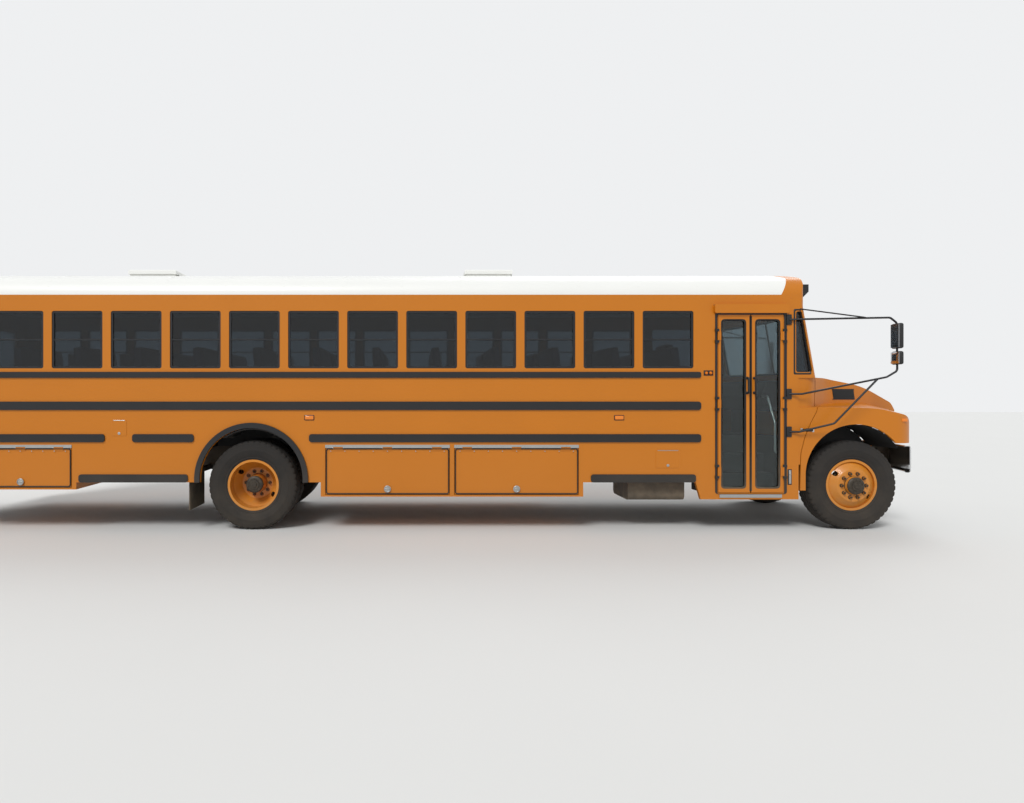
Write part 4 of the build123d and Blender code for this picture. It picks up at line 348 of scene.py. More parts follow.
# Tyres: turned profile with grooves, and notches cut into the shoulders
TYRE_PROFILE = (
    (0.288, 0.098, 0), (0.300, 0.107, 0), (0.312, 0.1125, 0), (0.318, 0.118, 0), (0.326, 0.1195, 0),
    (0.330, 0.117, 0), (0.352, 0.1275, 0), (0.380, 0.1355, 0), (0.402, 0.138, 0), (0.405, 0.1392, 0),
    (0.418, 0.1395, 0), (0.421, 0.1383, 0), (0.442, 0.1372, 0), (0.464, 0.1335, 0), (0.480, 0.1295, 0),
    (0.483, 0.1310, 0), (0.498, 0.1255, 1), (0.508, 0.1195, 1), (0.5135, 0.112, 1), (0.5160, 0.100, 1),
    (0.5175, 0.080, 0), (0.505, 0.077, 0), (0.505, 0.069, 0), (0.5183, 0.066, 0), (0.5192, 0.034, 0),
    (0.506, 0.031, 0), (0.506, 0.023, 0), (0.5197, 0.020, 0), (0.520, 0.0, 0),
)
TYRE_STEPS = 180
NOTCH_DEEP = 0.012
NOTCH_EVERY = 4


def tyre_mesh(centre_y):
    section = list(TYRE_PROFILE) + [(r, -y, n) for r, y, n in reversed(TYRE_PROFILE[:-1])]
    rings = []
    for step in range(TYRE_STEPS):
        angle = 2 * math.pi * step / TYRE_STEPS
        ring = []
        for radius, y, notched in section:
            if notched and step % NOTCH_EVERY == 0:
                radius -= NOTCH_DEEP
            ring.append((radius * math.cos(angle), centre_y + y, radius * math.sin(angle)))
        rings.append(ring)
    return closed_rings(rings)


NUTS = 10
NUTS_R = 0.1429
CAP_BOLTS_R = 0.068


def hub_mesh(shape, face_y, cap_y, matrix):
    """A hub cap over the CAD hub, with its flange, oil cap and ten nuts with stud ends."""
    shape.add(*lathe([(0.1125, face_y - 0.004), (0.1125, face_y + 0.007), (0.104, face_y + 0.012),
                      (0.0995, cap_y - 0.012), (0.092, cap_y - 0.004), (0.078, cap_y + 0.001),
                      (0.060, cap_y + 0.0015), (0.056, cap_y + 0.010), (0.034, cap_y + 0.012),
                      (0.030, cap_y + 0.019), (0.012, cap_y + 0.019)], 40), matrix)
    for index in range(NUTS):
        angle = 2 * math.pi * index / NUTS
        at = place(NUTS_R * math.cos(angle), face_y, NUTS_R * math.sin(angle))
        at = matrix @ at @ Matrix.Rotation(angle, 4, "Y")
        shape.add(*lathe([(0.0225, -0.001), (0.0225, 0.005), (0.019, 0.0065)], 20), at)
        shape.add(*lathe([(0.0176, 0.004), (0.0176, 0.0215), (0.0145, 0.0268)], 6), at)
        shape.add(*lathe([(0.0105, 0.02), (0.0105, 0.036), (0.0085, 0.038)], 14), at)
        turned = angle + 0.3
        bolt = place(CAP_BOLTS_R * math.cos(turned), cap_y, CAP_BOLTS_R * math.sin(turned))
        shape.add(*lathe([(0.0065, -0.001), (0.0065, 0.004), (0.005, 0.0055)], 6), matrix @ bolt)


def wheel_body(end, side):
    return f"wheel_front_{side}" if end == "front" else f"wheels_rear_{side}"


def make_wheels():
    for side, sign in SIDES:
        for end, axle_x, centres in (("front", FRONT_AXLE_X, (FRONT_TRACK,)),
                                     ("rear", REAR_AXLE_X, (TWIN_OUTER, TWIN_OUTER - TWIN_SPACING))):
            matrix = place(axle_x, 0, TYRE_R) @ on_side(sign)
            body = wheel_body(end, side)
            rubber = Shape()
            for centre in centres:
                rubber.add(*tyre_mesh(centre), matrix)
            name = "tyre" if end == "front" else "tyres"
            obj = rubber.finish(f"{name}_{end}_{side}_tread", body, TYRE, 28)
            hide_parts(f"{name}_{end}_{side}")
            hub = Shape()
            if end == "front":
                hub_mesh(hub, 1.166, 1.226, matrix)
            else:
                hub_mesh(hub, 0.879, 1.081, matrix)
            hub.finish(f"hub_{end}_{side}", body, HUB_BLACK, 30, "chassis_black")


make_wheels()


# Seats: crowned vinyl pads on steel frames
FLAT_SHARE = 0.72
BENCH_LEAN = -6.5
DRIVER_LEAN = -9


def pad(low, high, round_edge, crown, cells=7):
    """A stuffed pad: a box of small faces with round edges whose broad faces swell."""
    low, high = Vector(low), Vector(high)
    middle, half = (low + high) / 2, (high - low) / 2
    bm = bmesh.new()
    bmesh.ops.create_cube(bm, size=2.0)
    bmesh.ops.subdivide_edges(bm, edges=bm.edges[:], cuts=cells, use_grid_fill=True)
    thin = min(range(3), key=lambda axis: half[axis])
    for vert in bm.verts:
        unit = vert.co.copy()
        inner = Vector([unit[a] * (half[a] - round_edge) for a in range(3)])
        bend = [max(0.0, abs(c) - FLAT_SHARE) / (1 - FLAT_SHARE) * (1 if c > 0 else -1) for c in unit]
        bend = Vector(bend)
        if bend.length > 0:
            bend = bend.normalized() * max(abs(b) for b in bend)
        point = inner + bend * round_edge
        swell = 1.0
        for axis in range(3):
            if axis != thin:
                swell *= 1 - unit[axis] ** 4
        point[thin] += crown * swell * unit[thin]
        vert.co = middle + point
    bm.verts.index_update()
    points = [vert.co.copy() for vert in bm.verts]
    faces = [[vert.index for vert in face.verts] for face in bm.faces]
    bm.free()
    return points, faces


def bench_shapes():
    """One bench at the origin: cushion, leaning back, and its steel frame, on the left side."""
    far, near = 1.139, 0.149
    cushion, back, steel = Shape(), Shape(), Shape()
    cushion.add(*pad((0.03, near, FLOOR_Z + 0.345), (0.45, far, FLOOR_Z + 0.46), 0.035, 0.014))
    lean = place(0.05, 0, FLOOR_Z + 0.45) @ Matrix.Rotation(math.radians(BENCH_LEAN), 4, "Y")
    back.add(*pad((-0.085, near, -0.09), (0.025, far, 0.625), 0.035, 0.010), lean)
    for y_at in (near + 0.09, far - 0.12):
        path = rounded_path([(0.15, y_at, FLOOR_Z + 0.02), (0.15, y_at, FLOOR_Z + 0.34),
                             (0.34, y_at, FLOOR_Z + 0.34), (0.34, y_at, FLOOR_Z + 0.02)], 0.04)
        steel.add(*tube(path, 0.014))
        for x_at in (0.15, 0.34):
            steel.add(*soft_box((x_at - 0.03, y_at - 0.025, FLOOR_Z),
                                (x_at + 0.03, y_at + 0.025, FLOOR_Z + 0.006), 0.002))
    return cushion, back, steel


def copy_piece(source, name, matrix, body):
    """Another object with the same mesh."""
    obj = bpy.data.objects.new(name, source.data)
    bpy.context.scene.collection.objects.link(obj)
    obj.matrix_world = matrix
    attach(obj, body)
    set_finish(obj, source["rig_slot"])
    return obj


def make_seats():
    cushion, back, steel = bench_shapes()
    legs = Shape()
    models = {}
    for row in range(BENCH_ROWS):
        at = place(DOOR_REAR_X - 0.42 - BENCH_PITCH * row, 0, 0)
        for side, sign in SIDES:
            for part, source in (("cushion", cushion), ("back", back)):
                key = (part, side)
                name = f"bench_{part}_{side}_{row + 1}"
                if key not in models:
                    shape = Shape().add(source.points, source.faces, on_side(sign))
                    obj = shape.finish(name, "bus_body", VINYL, 60)
                    obj.parent = None
                    obj.matrix_world = at
                    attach(obj, "bus_body")
                    models[key] = obj
                else:
                    obj = copy_piece(models[key], name, at, "bus_body")
            legs.add(steel.points, steel.faces, at @ on_side(sign))
    make_driver_seat(legs)
    frames = legs.finish("seat_frames", "bus_body", CHASSIS)
    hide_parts("seats")


def make_driver_seat(legs):
    seat_x, seat_y, half = COWL_X - 0.85, 0.56, 0.25
    driver = Shape()
    driver.add(*pad((seat_x + 0.02, seat_y - half, FLOOR_Z + 0.405),
                    (seat_x + 0.5, seat_y + half, FLOOR_Z + 0.52), 0.04, 0.016))
    lean = Matrix.Rotation(math.radians(DRIVER_LEAN), 4, "Y")
    lean = place(seat_x + 0.05, seat_y, FLOOR_Z + 0.5) @ lean
    driver.add(*pad((-0.10, -half, -0.06), (0.02, half, 0.72), 0.045, 0.018), lean)
    obj = driver.finish("driver_pads", "bus_body", VINYL, 60)
    legs.add(*soft_box((seat_x + 0.08, seat_y - 0.17, FLOOR_Z),
                       (seat_x + 0.42, seat_y + 0.17, FLOOR_Z + 0.4), 0.02))


make_seats()


# Mirrors: bent tube frames, each with a flat head over a smaller convex one
MIRROR_OUT = 1.445
BRACE_FOOT_Z = 1.15


def mirror_frame(sign):
    side = on_side(sign)
    foot_x, out_y, far_x, high_z, low_z = COWL_X - 0.114, MIRROR_OUT, FRONT_AXLE_X + 0.241, 2.448, 1.587
    bars = Shape()
    main = [(foot_x, BODY_HALF + 0.012, high_z), (foot_x + 0.15, BODY_HALF + 0.06, high_z),
            (far_x, out_y, high_z), (far_x + 0.075, out_y, high_z - 0.06),
            (far_x + 0.08, out_y, low_z + 0.26), (far_x - 0.04, out_y, low_z + 0.19),
            (foot_x + 0.12, BODY_HALF + 0.06, low_z), (foot_x, BODY_HALF + 0.012, low_z)]
    brace = [(far_x - 0.13, out_y - 0.02, low_z + 0.167), (FRONT_AXLE_X - 0.33, out_y - 0.1, 1.25),
             (foot_x + 0.1, BODY_HALF + 0.04, BRACE_FOOT_Z), (foot_x, BODY_HALF + 0.012, BRACE_FOOT_Z)]
    stay = [Vector((4.448, 1.214, 2.574)), Vector((5.08, 1.415, 2.453))]
    for corners in (main, brace):
        bars.add(*tube(rounded_path(corners, 0.05), 0.0115), side)
    bars.add(*tube(stay, 0.008), side)
    for foot_z in (high_z, low_z, BRACE_FOOT_Z):
        bars.add(*soft_box((foot_x - 0.03, BODY_HALF, foot_z - 0.06),
                           (foot_x + 0.03, BODY_HALF + 0.016, foot_z + 0.06), 0.006), side)
    heads, glass = Shape(), Shape()
    for z_low, z_high, bulge in ((high_z - 0.35, high_z - 0.065, 0.0), (high_z - 0.53, high_z - 0.38, 0.012)):
        heads.add(*soft_box((far_x + 0.055, out_y - 0.08, z_low),
                            (far_x + 0.108, out_y + 0.08, z_high), 0.022, 4), side)
        face = pad((far_x + 0.050, out_y - 0.07, z_low + 0.01), (far_x + 0.058, out_y + 0.07, z_high - 0.01),
                   0.003, bulge)
        glass.add(*face, side)
    return bars, heads, glass


def make_mirrors():
    bars, heads, glass = Shape(), Shape(), Shape()
    for sign in SIGNS:
        for whole, part in zip((bars, heads, glass), mirror_frame(sign)):
            whole.add(part.points, part.faces)
    obj = bars.finish("mirror_bars", "bus_body", BLACK)
    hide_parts("mirrors")
    heads.finish("mirror_heads", "bus_body", PLASTIC)
    glass.finish("mirror_glass", "bus_body", CHROME)


make_mirrors()


# Details that lie on the CAD's outside: rays find its surface, so they sit on it from any side
FLIP = on_side(-1)
TREES = {}
DOWN = (0, 0, -1)
BACKWARD = (-1, 0, 0)
ABOVE = 4
AHEAD = 7
BESIDE = 2


def surface(names, origin, direction):
    """The point and outward normal where a ray first meets one of the named CAD nodes, or None."""
    direction = Vector(direction)
    best = None
    for name in names:
        if name not in TREES:
            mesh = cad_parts[name].data
            corners = [vert.co for vert in mesh.vertices]
            TREES[name] = BVHTree.FromPolygons(corners, [face.vertices for face in mesh.polygons])
        at, normal, _, distance = TREES[name].ray_cast(Vector(origin), direction)
        if at is not None and (best is None or distance < best[2]):
            best = (at, normal if normal.dot(direction) < 0 else -normal, distance)
    return best


def loop(corners, bend, steps=5):
    """A closed outline with its corners rounded off."""
    corners = [Vector(c) for c in corners]
    outline = []
    for i, corner in enumerate(corners):
        back, ahead = corners[i - 1] - corner, corners[(i + 1) % len(corners)] - corner
        reach = min(bend / math.tan(back.angle(ahead) / 2), 0.45 * back.length, 0.45 * ahead.length)
        start, end = corner + back.normalized() * reach, corner + ahead.normalized() * reach
        for step in range(steps + 1):
            t = step / steps
            outline.append((1 - t) ** 2 * start + 2 * t * (1 - t) * corner + t ** 2 * end)
    return outline


def rectangle(x_low, z_low, x_high, z_high):
    return [(x_low, z_low), (x_low, z_high), (x_high, z_high), (x_high, z_low)]


def band(outer, inner, near, far, axis="Y"):
    """A crowned ring between two outlines, from near to far along an axis."""
    middle = [(a + b) / 2 for a, b in zip(outer, inner)]
    edge = near + 0.6 * (far - near)
    lines = ((outer, near), (outer, edge), (middle, far), (inner, edge), (inner, near))
    if axis == "Y":
        return closed_rings([[(p.x, level, p.y) for p in line] for line, level in lines])
    return closed_rings([[(level, p.x, p.y) for p in line] for line, level in lines])


def gasket(x_low, z_low, x_high, z_high, wide, bends, near, far, axis="Y"):
    """A crowned ring of even width, just inside a rectangle with rounded corners."""
    outer = rectangle(x_low, z_low, x_high, z_high)
    inner = rectangle(x_low + wide, z_low + wide, x_high - wide, z_high - wide)
    return band(loop(outer, bends[0]), loop(inner, bends[1]), near, far, axis)


def plate(outline, near, far, ease=0.002):
    """A flat plate of that outline in the XZ plane, with an eased edge on the far side."""
    centre = sum(outline, Vector((0, 0))) / len(outline)
    inner = [p + (centre - p).normalized() * ease for p in outline]
    lines = ((outline, near), (outline, (near + far) / 2), (inner, far))
    return capped_rings([[(p.x, level, p.y) for p in line[::-1]] for line, level in lines])


def drape(shape, corners, names, sign, near, far, cells=6):
    """A thin plate between four (x, z) corners, laid on the outside of the named nodes."""
    a, d, c, b = [Vector(p) for p in corners]
    top, low = [], []
    for i in range(cells + 1):
        for j in range(cells + 1):
            u, v = i / cells, j / cells
            p = (1 - v) * ((1 - u) * a + u * b) + v * ((1 - u) * d + u * c)
            at, normal, _ = surface(names, (p.x, BESIDE * sign, p.y), (0, -sign, 0))
            top.append(at + far * normal)
            low.append(at + near * normal)
    count = cells + 1
    faces = []
    for i in range(cells):
        for j in range(cells):
            quad = [i * count + j, (i + 1) * count + j, (i + 1) * count + j + 1, i * count + j + 1]
            faces.append(quad)
            faces.append([len(top) + k for k in quad][::-1])
    rim = [i * count for i in range(count)] + [cells * count + j for j in range(1, count)]
    rim += [i * count + cells for i in range(cells - 1, -1, -1)] + list(range(cells - 1, 0, -1))
    for k, here in enumerate(rim):
        after = rim[(k + 1) % len(rim)]
        faces.append([here, len(top) + here, len(top) + after, after])
    shape.add(top + low, faces)


def facing(centre, direction):
    """Turns a piece that points along +X to that direction, at that place."""
    turn = Vector((1, 0, 0)).rotation_difference(Vector(direction))
    return place(*centre) @ turn.to_matrix().to_4x4()


# Lamps
LENS_DOME = ((1, 0.002), (0.95, 0.006), (0.90, 0.006), (0.82, 0.013), (0.6, 0.019), (0.58, 0.0175),
             (0.3, 0.022), (0.28, 0.0205), (0.04, 0.023))
LAMP_HOOD_X = 4.632
LAMP_HOOD_Y = 0.49
LAMP_SLOPE = 0.1673
WARNING_R = 0.082
TAIL_LAMP_Y = 1.0
TAIL_LAMPS = ((1.62, 0.088, "amber"), (1.40, 0.088, "red"), (1.24, 0.05, "clear"))
SIDE_MARKER_XS = (-1.24, 2.35)
SIDE_MARKER_Z = (1.29, 1.335)
ROOF_MARKER_YS = (-0.16, 0.0, 0.16)
BEACON_X = -4.75


def lamp(glass, ring, centre, direction, radius, deep=0.024):
    """A round lens with a stepped dome, in a thin ring."""
    at = facing(centre, direction)
    dome = [(share * radius, along) for share, along in LENS_DOME]
    glass.add(*lathe([(radius, -deep)] + dome, 40, "X"), at)
    ring.add(*lathe([(radius + 0.001, -deep), (radius + 0.009, -deep), (radius + 0.009, 0.001),
                     (radius + 0.004, 0.005), (radius + 0.001, 0.002)], 40, "X", closed=True), at)


def make_lamps():
    """Warning lamps over the windshield and the rear, tail lamps, and markers on the belt."""
    lenses = {"amber": Shape(), "red": Shape(), "clear": Shape()}
    ring = Shape()
    low_z, high_z = SIDE_MARKER_Z
    for sign in SIGNS:
        for y_at, tint in ((0.62, "amber"), (0.88, "red")):
            x_at = LAMP_HOOD_X - (y_at - LAMP_HOOD_Y) * LAMP_SLOPE
            lamp(lenses[tint], ring, (x_at, sign * y_at, 2.79), (1, sign * LAMP_SLOPE, 0), WARNING_R)
            lamp(lenses[tint], ring, (BODY_REAR_X - 0.024, sign * y_at, 2.64), BACKWARD, WARNING_R)
        for z_at, radius, tint in TAIL_LAMPS:
            lamp(lenses[tint], ring, (BODY_REAR_X - 0.02, sign * TAIL_LAMP_Y, z_at), BACKWARD, radius, 0.02)
        turn = on_side(sign)
        for x_at in SIDE_MARKER_XS:
            lenses["amber"].add(*soft_box((x_at - 0.05, BODY_HALF, low_z),
                                          (x_at + 0.05, BODY_HALF + 0.0145, high_z), 0.006, 3), turn)
            ring.add(*gasket(x_at - 0.058, low_z - 0.008, x_at + 0.058, high_z + 0.008, 0.01, (0.01, 0.006),
                             BODY_HALF, BODY_HALF + 0.007), turn)
    for tint, material, slot in (("amber", AMBER_LENS, "lamp_red"), ("red", RED_LENS, None),
                                 ("clear", CLEAR, None)):
        obj = lenses[tint].finish(f"{tint}_lenses", "bus_body", material, slot=slot)
        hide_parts("lamp_lenses")
    ring.finish("lamp_rings", "bus_body", BLACK)


def roof_marker(shape, names, x_at, y_at):
    at = surface(names, (x_at, y_at, ABOVE), DOWN)[0]
    shape.add(*soft_box(at + Vector((-0.03, -0.03, -0.004)), at + Vector((0.03, 0.03, 0.022)), 0.01, 3))


def make_markers():
    """Small lamps on the fenders, the roof's edges and beside the doorway, and the roof's beacon."""
    amber, base, red, dome = Shape(), Shape(), Shape(), Shape()
    for side, sign in SIDES:
        fender = Shape().add(*soft_box((5.635, 1.188, 1.265), (5.70, 1.214, 1.302), 0.006, 3), on_side(sign))
        fender.finish(f"fender_marker_{side}", "hood", AMBER_LENS, slot="lamp_red")
        drape(base, rectangle(3.33, 1.80, 3.44, 1.86), [f"side_wall_{side}"], sign, -0.001, 0.004)
        for x_at in (3.36, 3.41):
            lamp(amber, base, (x_at, sign * (BODY_HALF + 0.004), 1.83), (0, sign, 0), 0.018, 0.004)
    for y_at in ROOF_MARKER_YS:
        roof_marker(red, ["roof"], BODY_REAR_X + 0.06, y_at)
        roof_marker(amber, ["roof", "front_cap"], COWL_X - 0.07, y_at)
    at = place(*surface(["roof"], (BEACON_X, 0, ABOVE), DOWN)[0])
    base.add(*lathe([(0.055, -0.02), (0.055, 0.0), (0.05, 0.008)], 32, "Z"), at)
    dome.add(*lathe([(0.044, -0.005), (0.044, 0.012), (0.041, 0.018), (0.028, 0.0215), (0.006, 0.0225)],
                    32, "Z"), at)
    dome.finish("beacon_dome", "bus_body", CLEAR, 60)
    amber.finish("marker_lenses", "bus_body", AMBER_LENS, slot="lamp_red")
    red.finish("rear_markers", "bus_body", RED_LENS)
    base.finish("marker_bases", "bus_body", BLACK)


# Doorway, windows and doors. The doorway is on the right, so its pieces are drawn on the left and flipped
LEAF_FACE = 1.224
GRIP_OUT = 1.2705
GRIP_Z = (1.60, 1.77)
PANE_Z = (0.501, 2.444)


def make_leaf(body, pane_x, seam_x, grip_x):
    """The seals, gaskets and handle of one entrance leaf."""
    seals, grip = Shape(), Shape()
    low_z, high_z = PANE_Z
    seals.add(*soft_box((seam_x[0], 1.181, 0.46), (seam_x[1], 1.2275, 2.49), 0.005, 3), FLIP)
    for proud, bend, near, far in ((0.016, 0.05, 1.214, 1.2285), (0.012, 0.045, 1.190, 1.180)):
        seals.add(*gasket(pane_x[0] - proud, low_z - proud, pane_x[1] + proud, high_z + proud, proud + 0.008,
                          (bend, 0.035), near, far), FLIP)
    path = [(grip_x, out, z_at) for out, z_at in ((LEAF_FACE, GRIP_Z[0]), (GRIP_OUT, GRIP_Z[0]),
                                                  (GRIP_OUT, GRIP_Z[1]), (LEAF_FACE, GRIP_Z[1]))]
    grip.add(*tube(rounded_path(path, 0.02), 0.0125), FLIP)
    for foot_z in GRIP_Z:
        grip.add(*lathe([(0.017, 1.222), (0.017, 1.229), (0.013, 1.232)], 20),
                 FLIP @ place(grip_x, 0, foot_z))
    seals.finish(f"{body}_seals", body, FLAP_RUBBER, slot="trim_black")
    grip.finish(f"{body}_grip", body, PLASTIC)


def make_doorway():
    """The black surround of the entrance, its header and the lock beside it."""
    fixed, steel = Shape(), Shape()
    fixed.add(*band(loop(rectangle(3.462, 0.43, 4.292, 2.535), 0.03),
                    loop(rectangle(3.486, 0.43, 4.262, 2.508), 0.02), BODY_HALF, 1.2275), FLIP)
    fixed.add(*soft_box((4.302, 1.217, 0.535), (4.350, 1.224, 0.715), 0.006, 3), FLIP)
    fixed.add(*soft_box((3.446, 1.217, 2.545), (4.305, 1.226, 2.622), 0.004), FLIP)
    steel.add(*soft_box((4.312, 1.219, 0.545), (4.340, 1.233, 0.705), 0.006, 3), FLIP)
    steel.add(*lathe([(0.011, 1.23), (0.011, 1.238), (0.008, 1.241)], 20),
              FLIP @ place(4.326, 0, 0.66))
    for x_at in (3.5, 3.7, 3.9, 4.1, 4.25):
        steel.add(*lathe([(0.007, 1.225), (0.007, 1.228), (0.004, 1.2295)], 12),
                  FLIP @ place(x_at, 0, 2.584))
    fixed.finish("doorway_trim", "bus_body", BLACK)
    steel.finish("doorway_fittings", "bus_body", STEEL)


def make_quarter_windows():
    shape = Shape()
    outer = loop([(4.360, 1.800), (4.360, 2.585), (4.454, 2.585), (4.590, 1.800)], 0.02)
    inner = loop([(4.404, 1.843), (4.404, 2.542), (4.446, 2.542), (4.564, 1.843)], 0.02)
    for sign in SIGNS:
        shape.add(*band(outer, inner, 1.194, 1.2245), on_side(sign))
    shape.finish("quarter_window_gaskets", "bus_body", BLACK)


def make_luggage_door(end, side, sign):
    """The gasket, round latch and hinge rivets of one luggage door."""
    name = f"luggage_door_{end}_{side}"
    box_low, box_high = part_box(name)
    x_low, x_high, z_low, z_high = box_low[0], box_high[0], box_low[2], 0.960
    turn = on_side(sign)
    rubber, steel = Shape(), Shape()
    rubber.add(*gasket(x_low + 0.002, z_low + 0.002, x_high - 0.002, z_high - 0.002, 0.012, (0.03, 0.02),
                       BODY_HALF, 1.2352), turn)
    middle = (x_low + x_high) / 2
    steel.add(*lathe([(0.040, 1.228), (0.040, 1.236), (0.036, 1.239), (0.031, 1.239), (0.029, 1.2345),
                      (0.012, 1.2345), (0.011, 1.241), (0.007, 1.242)], 32),
              turn @ place(middle, 0, z_low + 0.062))
    steel.add(*soft_box((middle - 0.027, 1.233, z_low + 0.056),
                        (middle + 0.027, 1.241, z_low + 0.068), 0.003), turn)
    for step in range(9):
        x_at = x_low + 0.06 + (x_high - x_low - 0.12) * step / 8
        steel.add(*lathe([(0.006, 1.232), (0.006, 1.2345), (0.003, 1.2355)], 10),
                  turn @ place(x_at, 0, 0.925))
    rubber.finish(f"{name}_gasket", name, BLACK)
    steel.finish(f"{name}_latch", name, STEEL)


def make_service_doors():
    paint, steel = Shape(), Shape()
    for x_low, z_low, x_high, z_high in ((-3.53, 1.10, -3.356, 1.286), (2.775, 0.729, 3.054, 0.938)):
        paint.add(*plate(loop(rectangle(x_low, z_low, x_high, z_high), 0.02), 1.217, 1.2225), FLIP)
        steel.add(*lathe([(0.016, 1.221), (0.016, 1.2255), (0.012, 1.227)], 20),
                  FLIP @ place((x_low + x_high) / 2, 0, z_low + 0.03))
        hinge = [Vector((x_at, 1.2215, z_high - 0.006)) for x_at in (x_low + 0.02, x_high - 0.02)]
        steel.add(*tube(hinge, 0.0045), FLIP)
    paint.finish("service_doors", "bus_body", PAINT)
    steel.finish("service_door_fittings", "bus_body", STEEL)


def make_rear_details():
    """Gaskets round the emergency door, its panes and the rear windows."""
    fixed, moving = Shape(), Shape()
    face = surface(["emergency_door"], (-8, 0.345, 1.3), (1, 0, 0))[0].x
    moving.add(*gasket(-0.366, 1.100, 0.366, 2.485, 0.016, (0.03, 0.02), face + 0.001, face - 0.006, "X"))
    moving.add(*gasket(-0.318, 1.251, 0.318, 2.438, 0.022, (0.05, 0.04), face + 0.014, face - 0.005, "X"))
    for sign in (-1, 1):
        centre = sign * 0.765
        fixed.add(*gasket(centre - 0.262, 1.867, centre + 0.262, 2.508, 0.03, (0.05, 0.035),
                          BODY_REAR_X + 0.018, BODY_REAR_X - 0.006, "X"))
    fixed.finish("rear_window_gaskets", "bus_body", BLACK)
    moving.finish("emergency_door_gaskets", "emergency_exit", BLACK)


# Front bumper: its arc as in the part's source, and its section as (back from the face, z)
BUMPER_CENTRE_X = 2.760
BUMPER_R = 3.270
BUMPER_ANGLE = 0.3334
BUMPER_MIDDLE_Z = 0.815
BUMPER_THICK = 0.006
BUMPER_FRONT = [(-0.058, 0.668), (-0.050, 0.657), (-0.020, 0.655), (-0.006, 0.662), (-0.001, 0.685),
                (0.0, 0.75), (0.0, 0.815), (0.0, 0.88), (-0.001, 0.945), (-0.006, 0.968), (-0.020, 0.975),
                (-0.050, 0.973), (-0.058, 0.962)]


def bumper_inside(deep, z):
    """The point of the bumper's inner skin behind one of its outer skin."""
    off_middle = abs(z - BUMPER_MIDDLE_Z)
    if off_middle < 0.14:
        deep -= BUMPER_THICK
    if off_middle > 0.12:
        z += math.copysign(0.005, BUMPER_MIDDLE_Z - z)
    return (deep, z)


def make_bumper():
    """A polished channel on an arc, with rounded ends, and its two brackets."""
    section = BUMPER_FRONT + [bumper_inside(deep, z) for deep, z in reversed(BUMPER_FRONT)]
    steps, ease, round_end = 64, 0.02, 0.018
    rings = []
    for step in range(steps + 1):
        angle = BUMPER_ANGLE * (2 * step / steps - 1)
        near_end = max(0.0, abs(angle) - (BUMPER_ANGLE - ease)) / ease
        pull = round_end * (1 - math.sqrt(max(0.0, 1 - near_end ** 2)))
        rings.append([(BUMPER_CENTRE_X + (BUMPER_R + deep - pull) * math.cos(angle),
                       (BUMPER_R + deep - pull) * math.sin(angle), z) for deep, z in section[::-1]])
    shape = Shape().add(*capped_rings(rings))
    obj = shape.finish("front_bumper_chrome", "bus_body", CHROME, 30)
    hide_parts("front_bumper")
    arms, bolts = Shape(), Shape()
    for sign in SIGNS:
        turn = on_side(sign)
        for y_at in (0.35, 0.42):
            arms.add(*soft_box((5.83, y_at, 0.70), (5.985, y_at + 0.012, 0.93), 0.004), turn)
        arms.add(*soft_box((5.978, 0.34, 0.69), (5.992, 0.442, 0.94), 0.004), turn)
        for z_at in (0.76, 0.87):
            for y_at in (0.365, 0.417):
                x_at = BUMPER_CENTRE_X + math.sqrt(BUMPER_R ** 2 - y_at ** 2)
                bolts.add(*lathe([(0.013, -0.004), (0.013, 0.002), (0.009, 0.0055), (0.003, 0.0065)],
                                 16, "X"),
                          turn @ place(x_at, y_at, z_at))
    arms.finish("front_bumper_arms", "bus_body", CHASSIS)
    bolts.finish("front_bumper_bolts", "bus_body", CHROME)


# Hood: arch liners, vents, latches, lamp bowls and the grille's surround
ARCH_X = 5.105
ARCH_Z = 0.645
ARCH_R = 0.583
LINER_THICK = 0.003
LINER_FRONT = math.radians(32)
LINER_Y = (0.62, 1.19)
SPLASH_X = (4.56, 5.55)
SPLASH_LOW = 0.93
SPLASH_Y = (0.592, 0.596)
VENT = [(4.985, 1.528), (4.965, 1.648), (5.265, 1.640), (5.285, 1.528)]
VENT_LIPS = ((4.972, 1.522, 5.282, 1.530), (4.962, 1.640, 5.270, 1.648))
LATCH_Z = 1.17
BOWL_YS = (0.800, 0.965)
BOWL_R = 0.066


def make_liners(dark, turn):
    """A curved sheet over the tyre, and a flat one between the tyre and the engine."""
    rings = []
    steps = 40
    low_y, high_y = LINER_Y
    outer_r = ARCH_R + LINER_THICK
    for step in range(steps + 1):
        angle = LINER_FRONT + (math.pi - LINER_FRONT) * step / steps
        rings.append([(ARCH_X + r * math.cos(angle), y, ARCH_Z + r * math.sin(angle))
                      for r, y in ((ARCH_R, low_y), (ARCH_R, high_y), (outer_r, high_y), (outer_r, low_y))])
    dark.add(*capped_rings(rings), turn)
    rings = []
    steps = 24
    near, far = SPLASH_Y
    for step in range(steps + 1):
        x_at = SPLASH_X[0] + (SPLASH_X[1] - SPLASH_X[0]) * step / steps
        top = ARCH_Z + math.sqrt(max(0.0, ARCH_R ** 2 - (x_at - ARCH_X) ** 2))
        low = min(SPLASH_LOW, top)
        rings.append([(x_at, near, low), (x_at, near, top), (x_at, far, top), (x_at, far, low)])
    dark.add(*capped_rings(rings), turn)


def make_vent(dark, sign):
    drape(dark, VENT, ["hood"], sign, -0.001, 0.002)
    for lip in VENT_LIPS:
        drape(dark, rectangle(*lip), ["hood"], sign, 0.0, 0.006, 3)
    for index in range(5):
        z_at = 1.541 + 0.02 * index
        drape(dark, rectangle(4.985, z_at, 5.268, z_at + 0.007), ["hood"], sign, 0.0, 0.008, 4)


def latch_piece(shape, x_low, x_high, face, near, far, half_z, edge, steps, turn):
    """A small block at the latch's height, from near to far outside a face."""
    shape.add(*soft_box((x_low, face + near, LATCH_Z - half_z), (x_high, face + far, LATCH_Z + half_z),
                        edge, steps), turn)


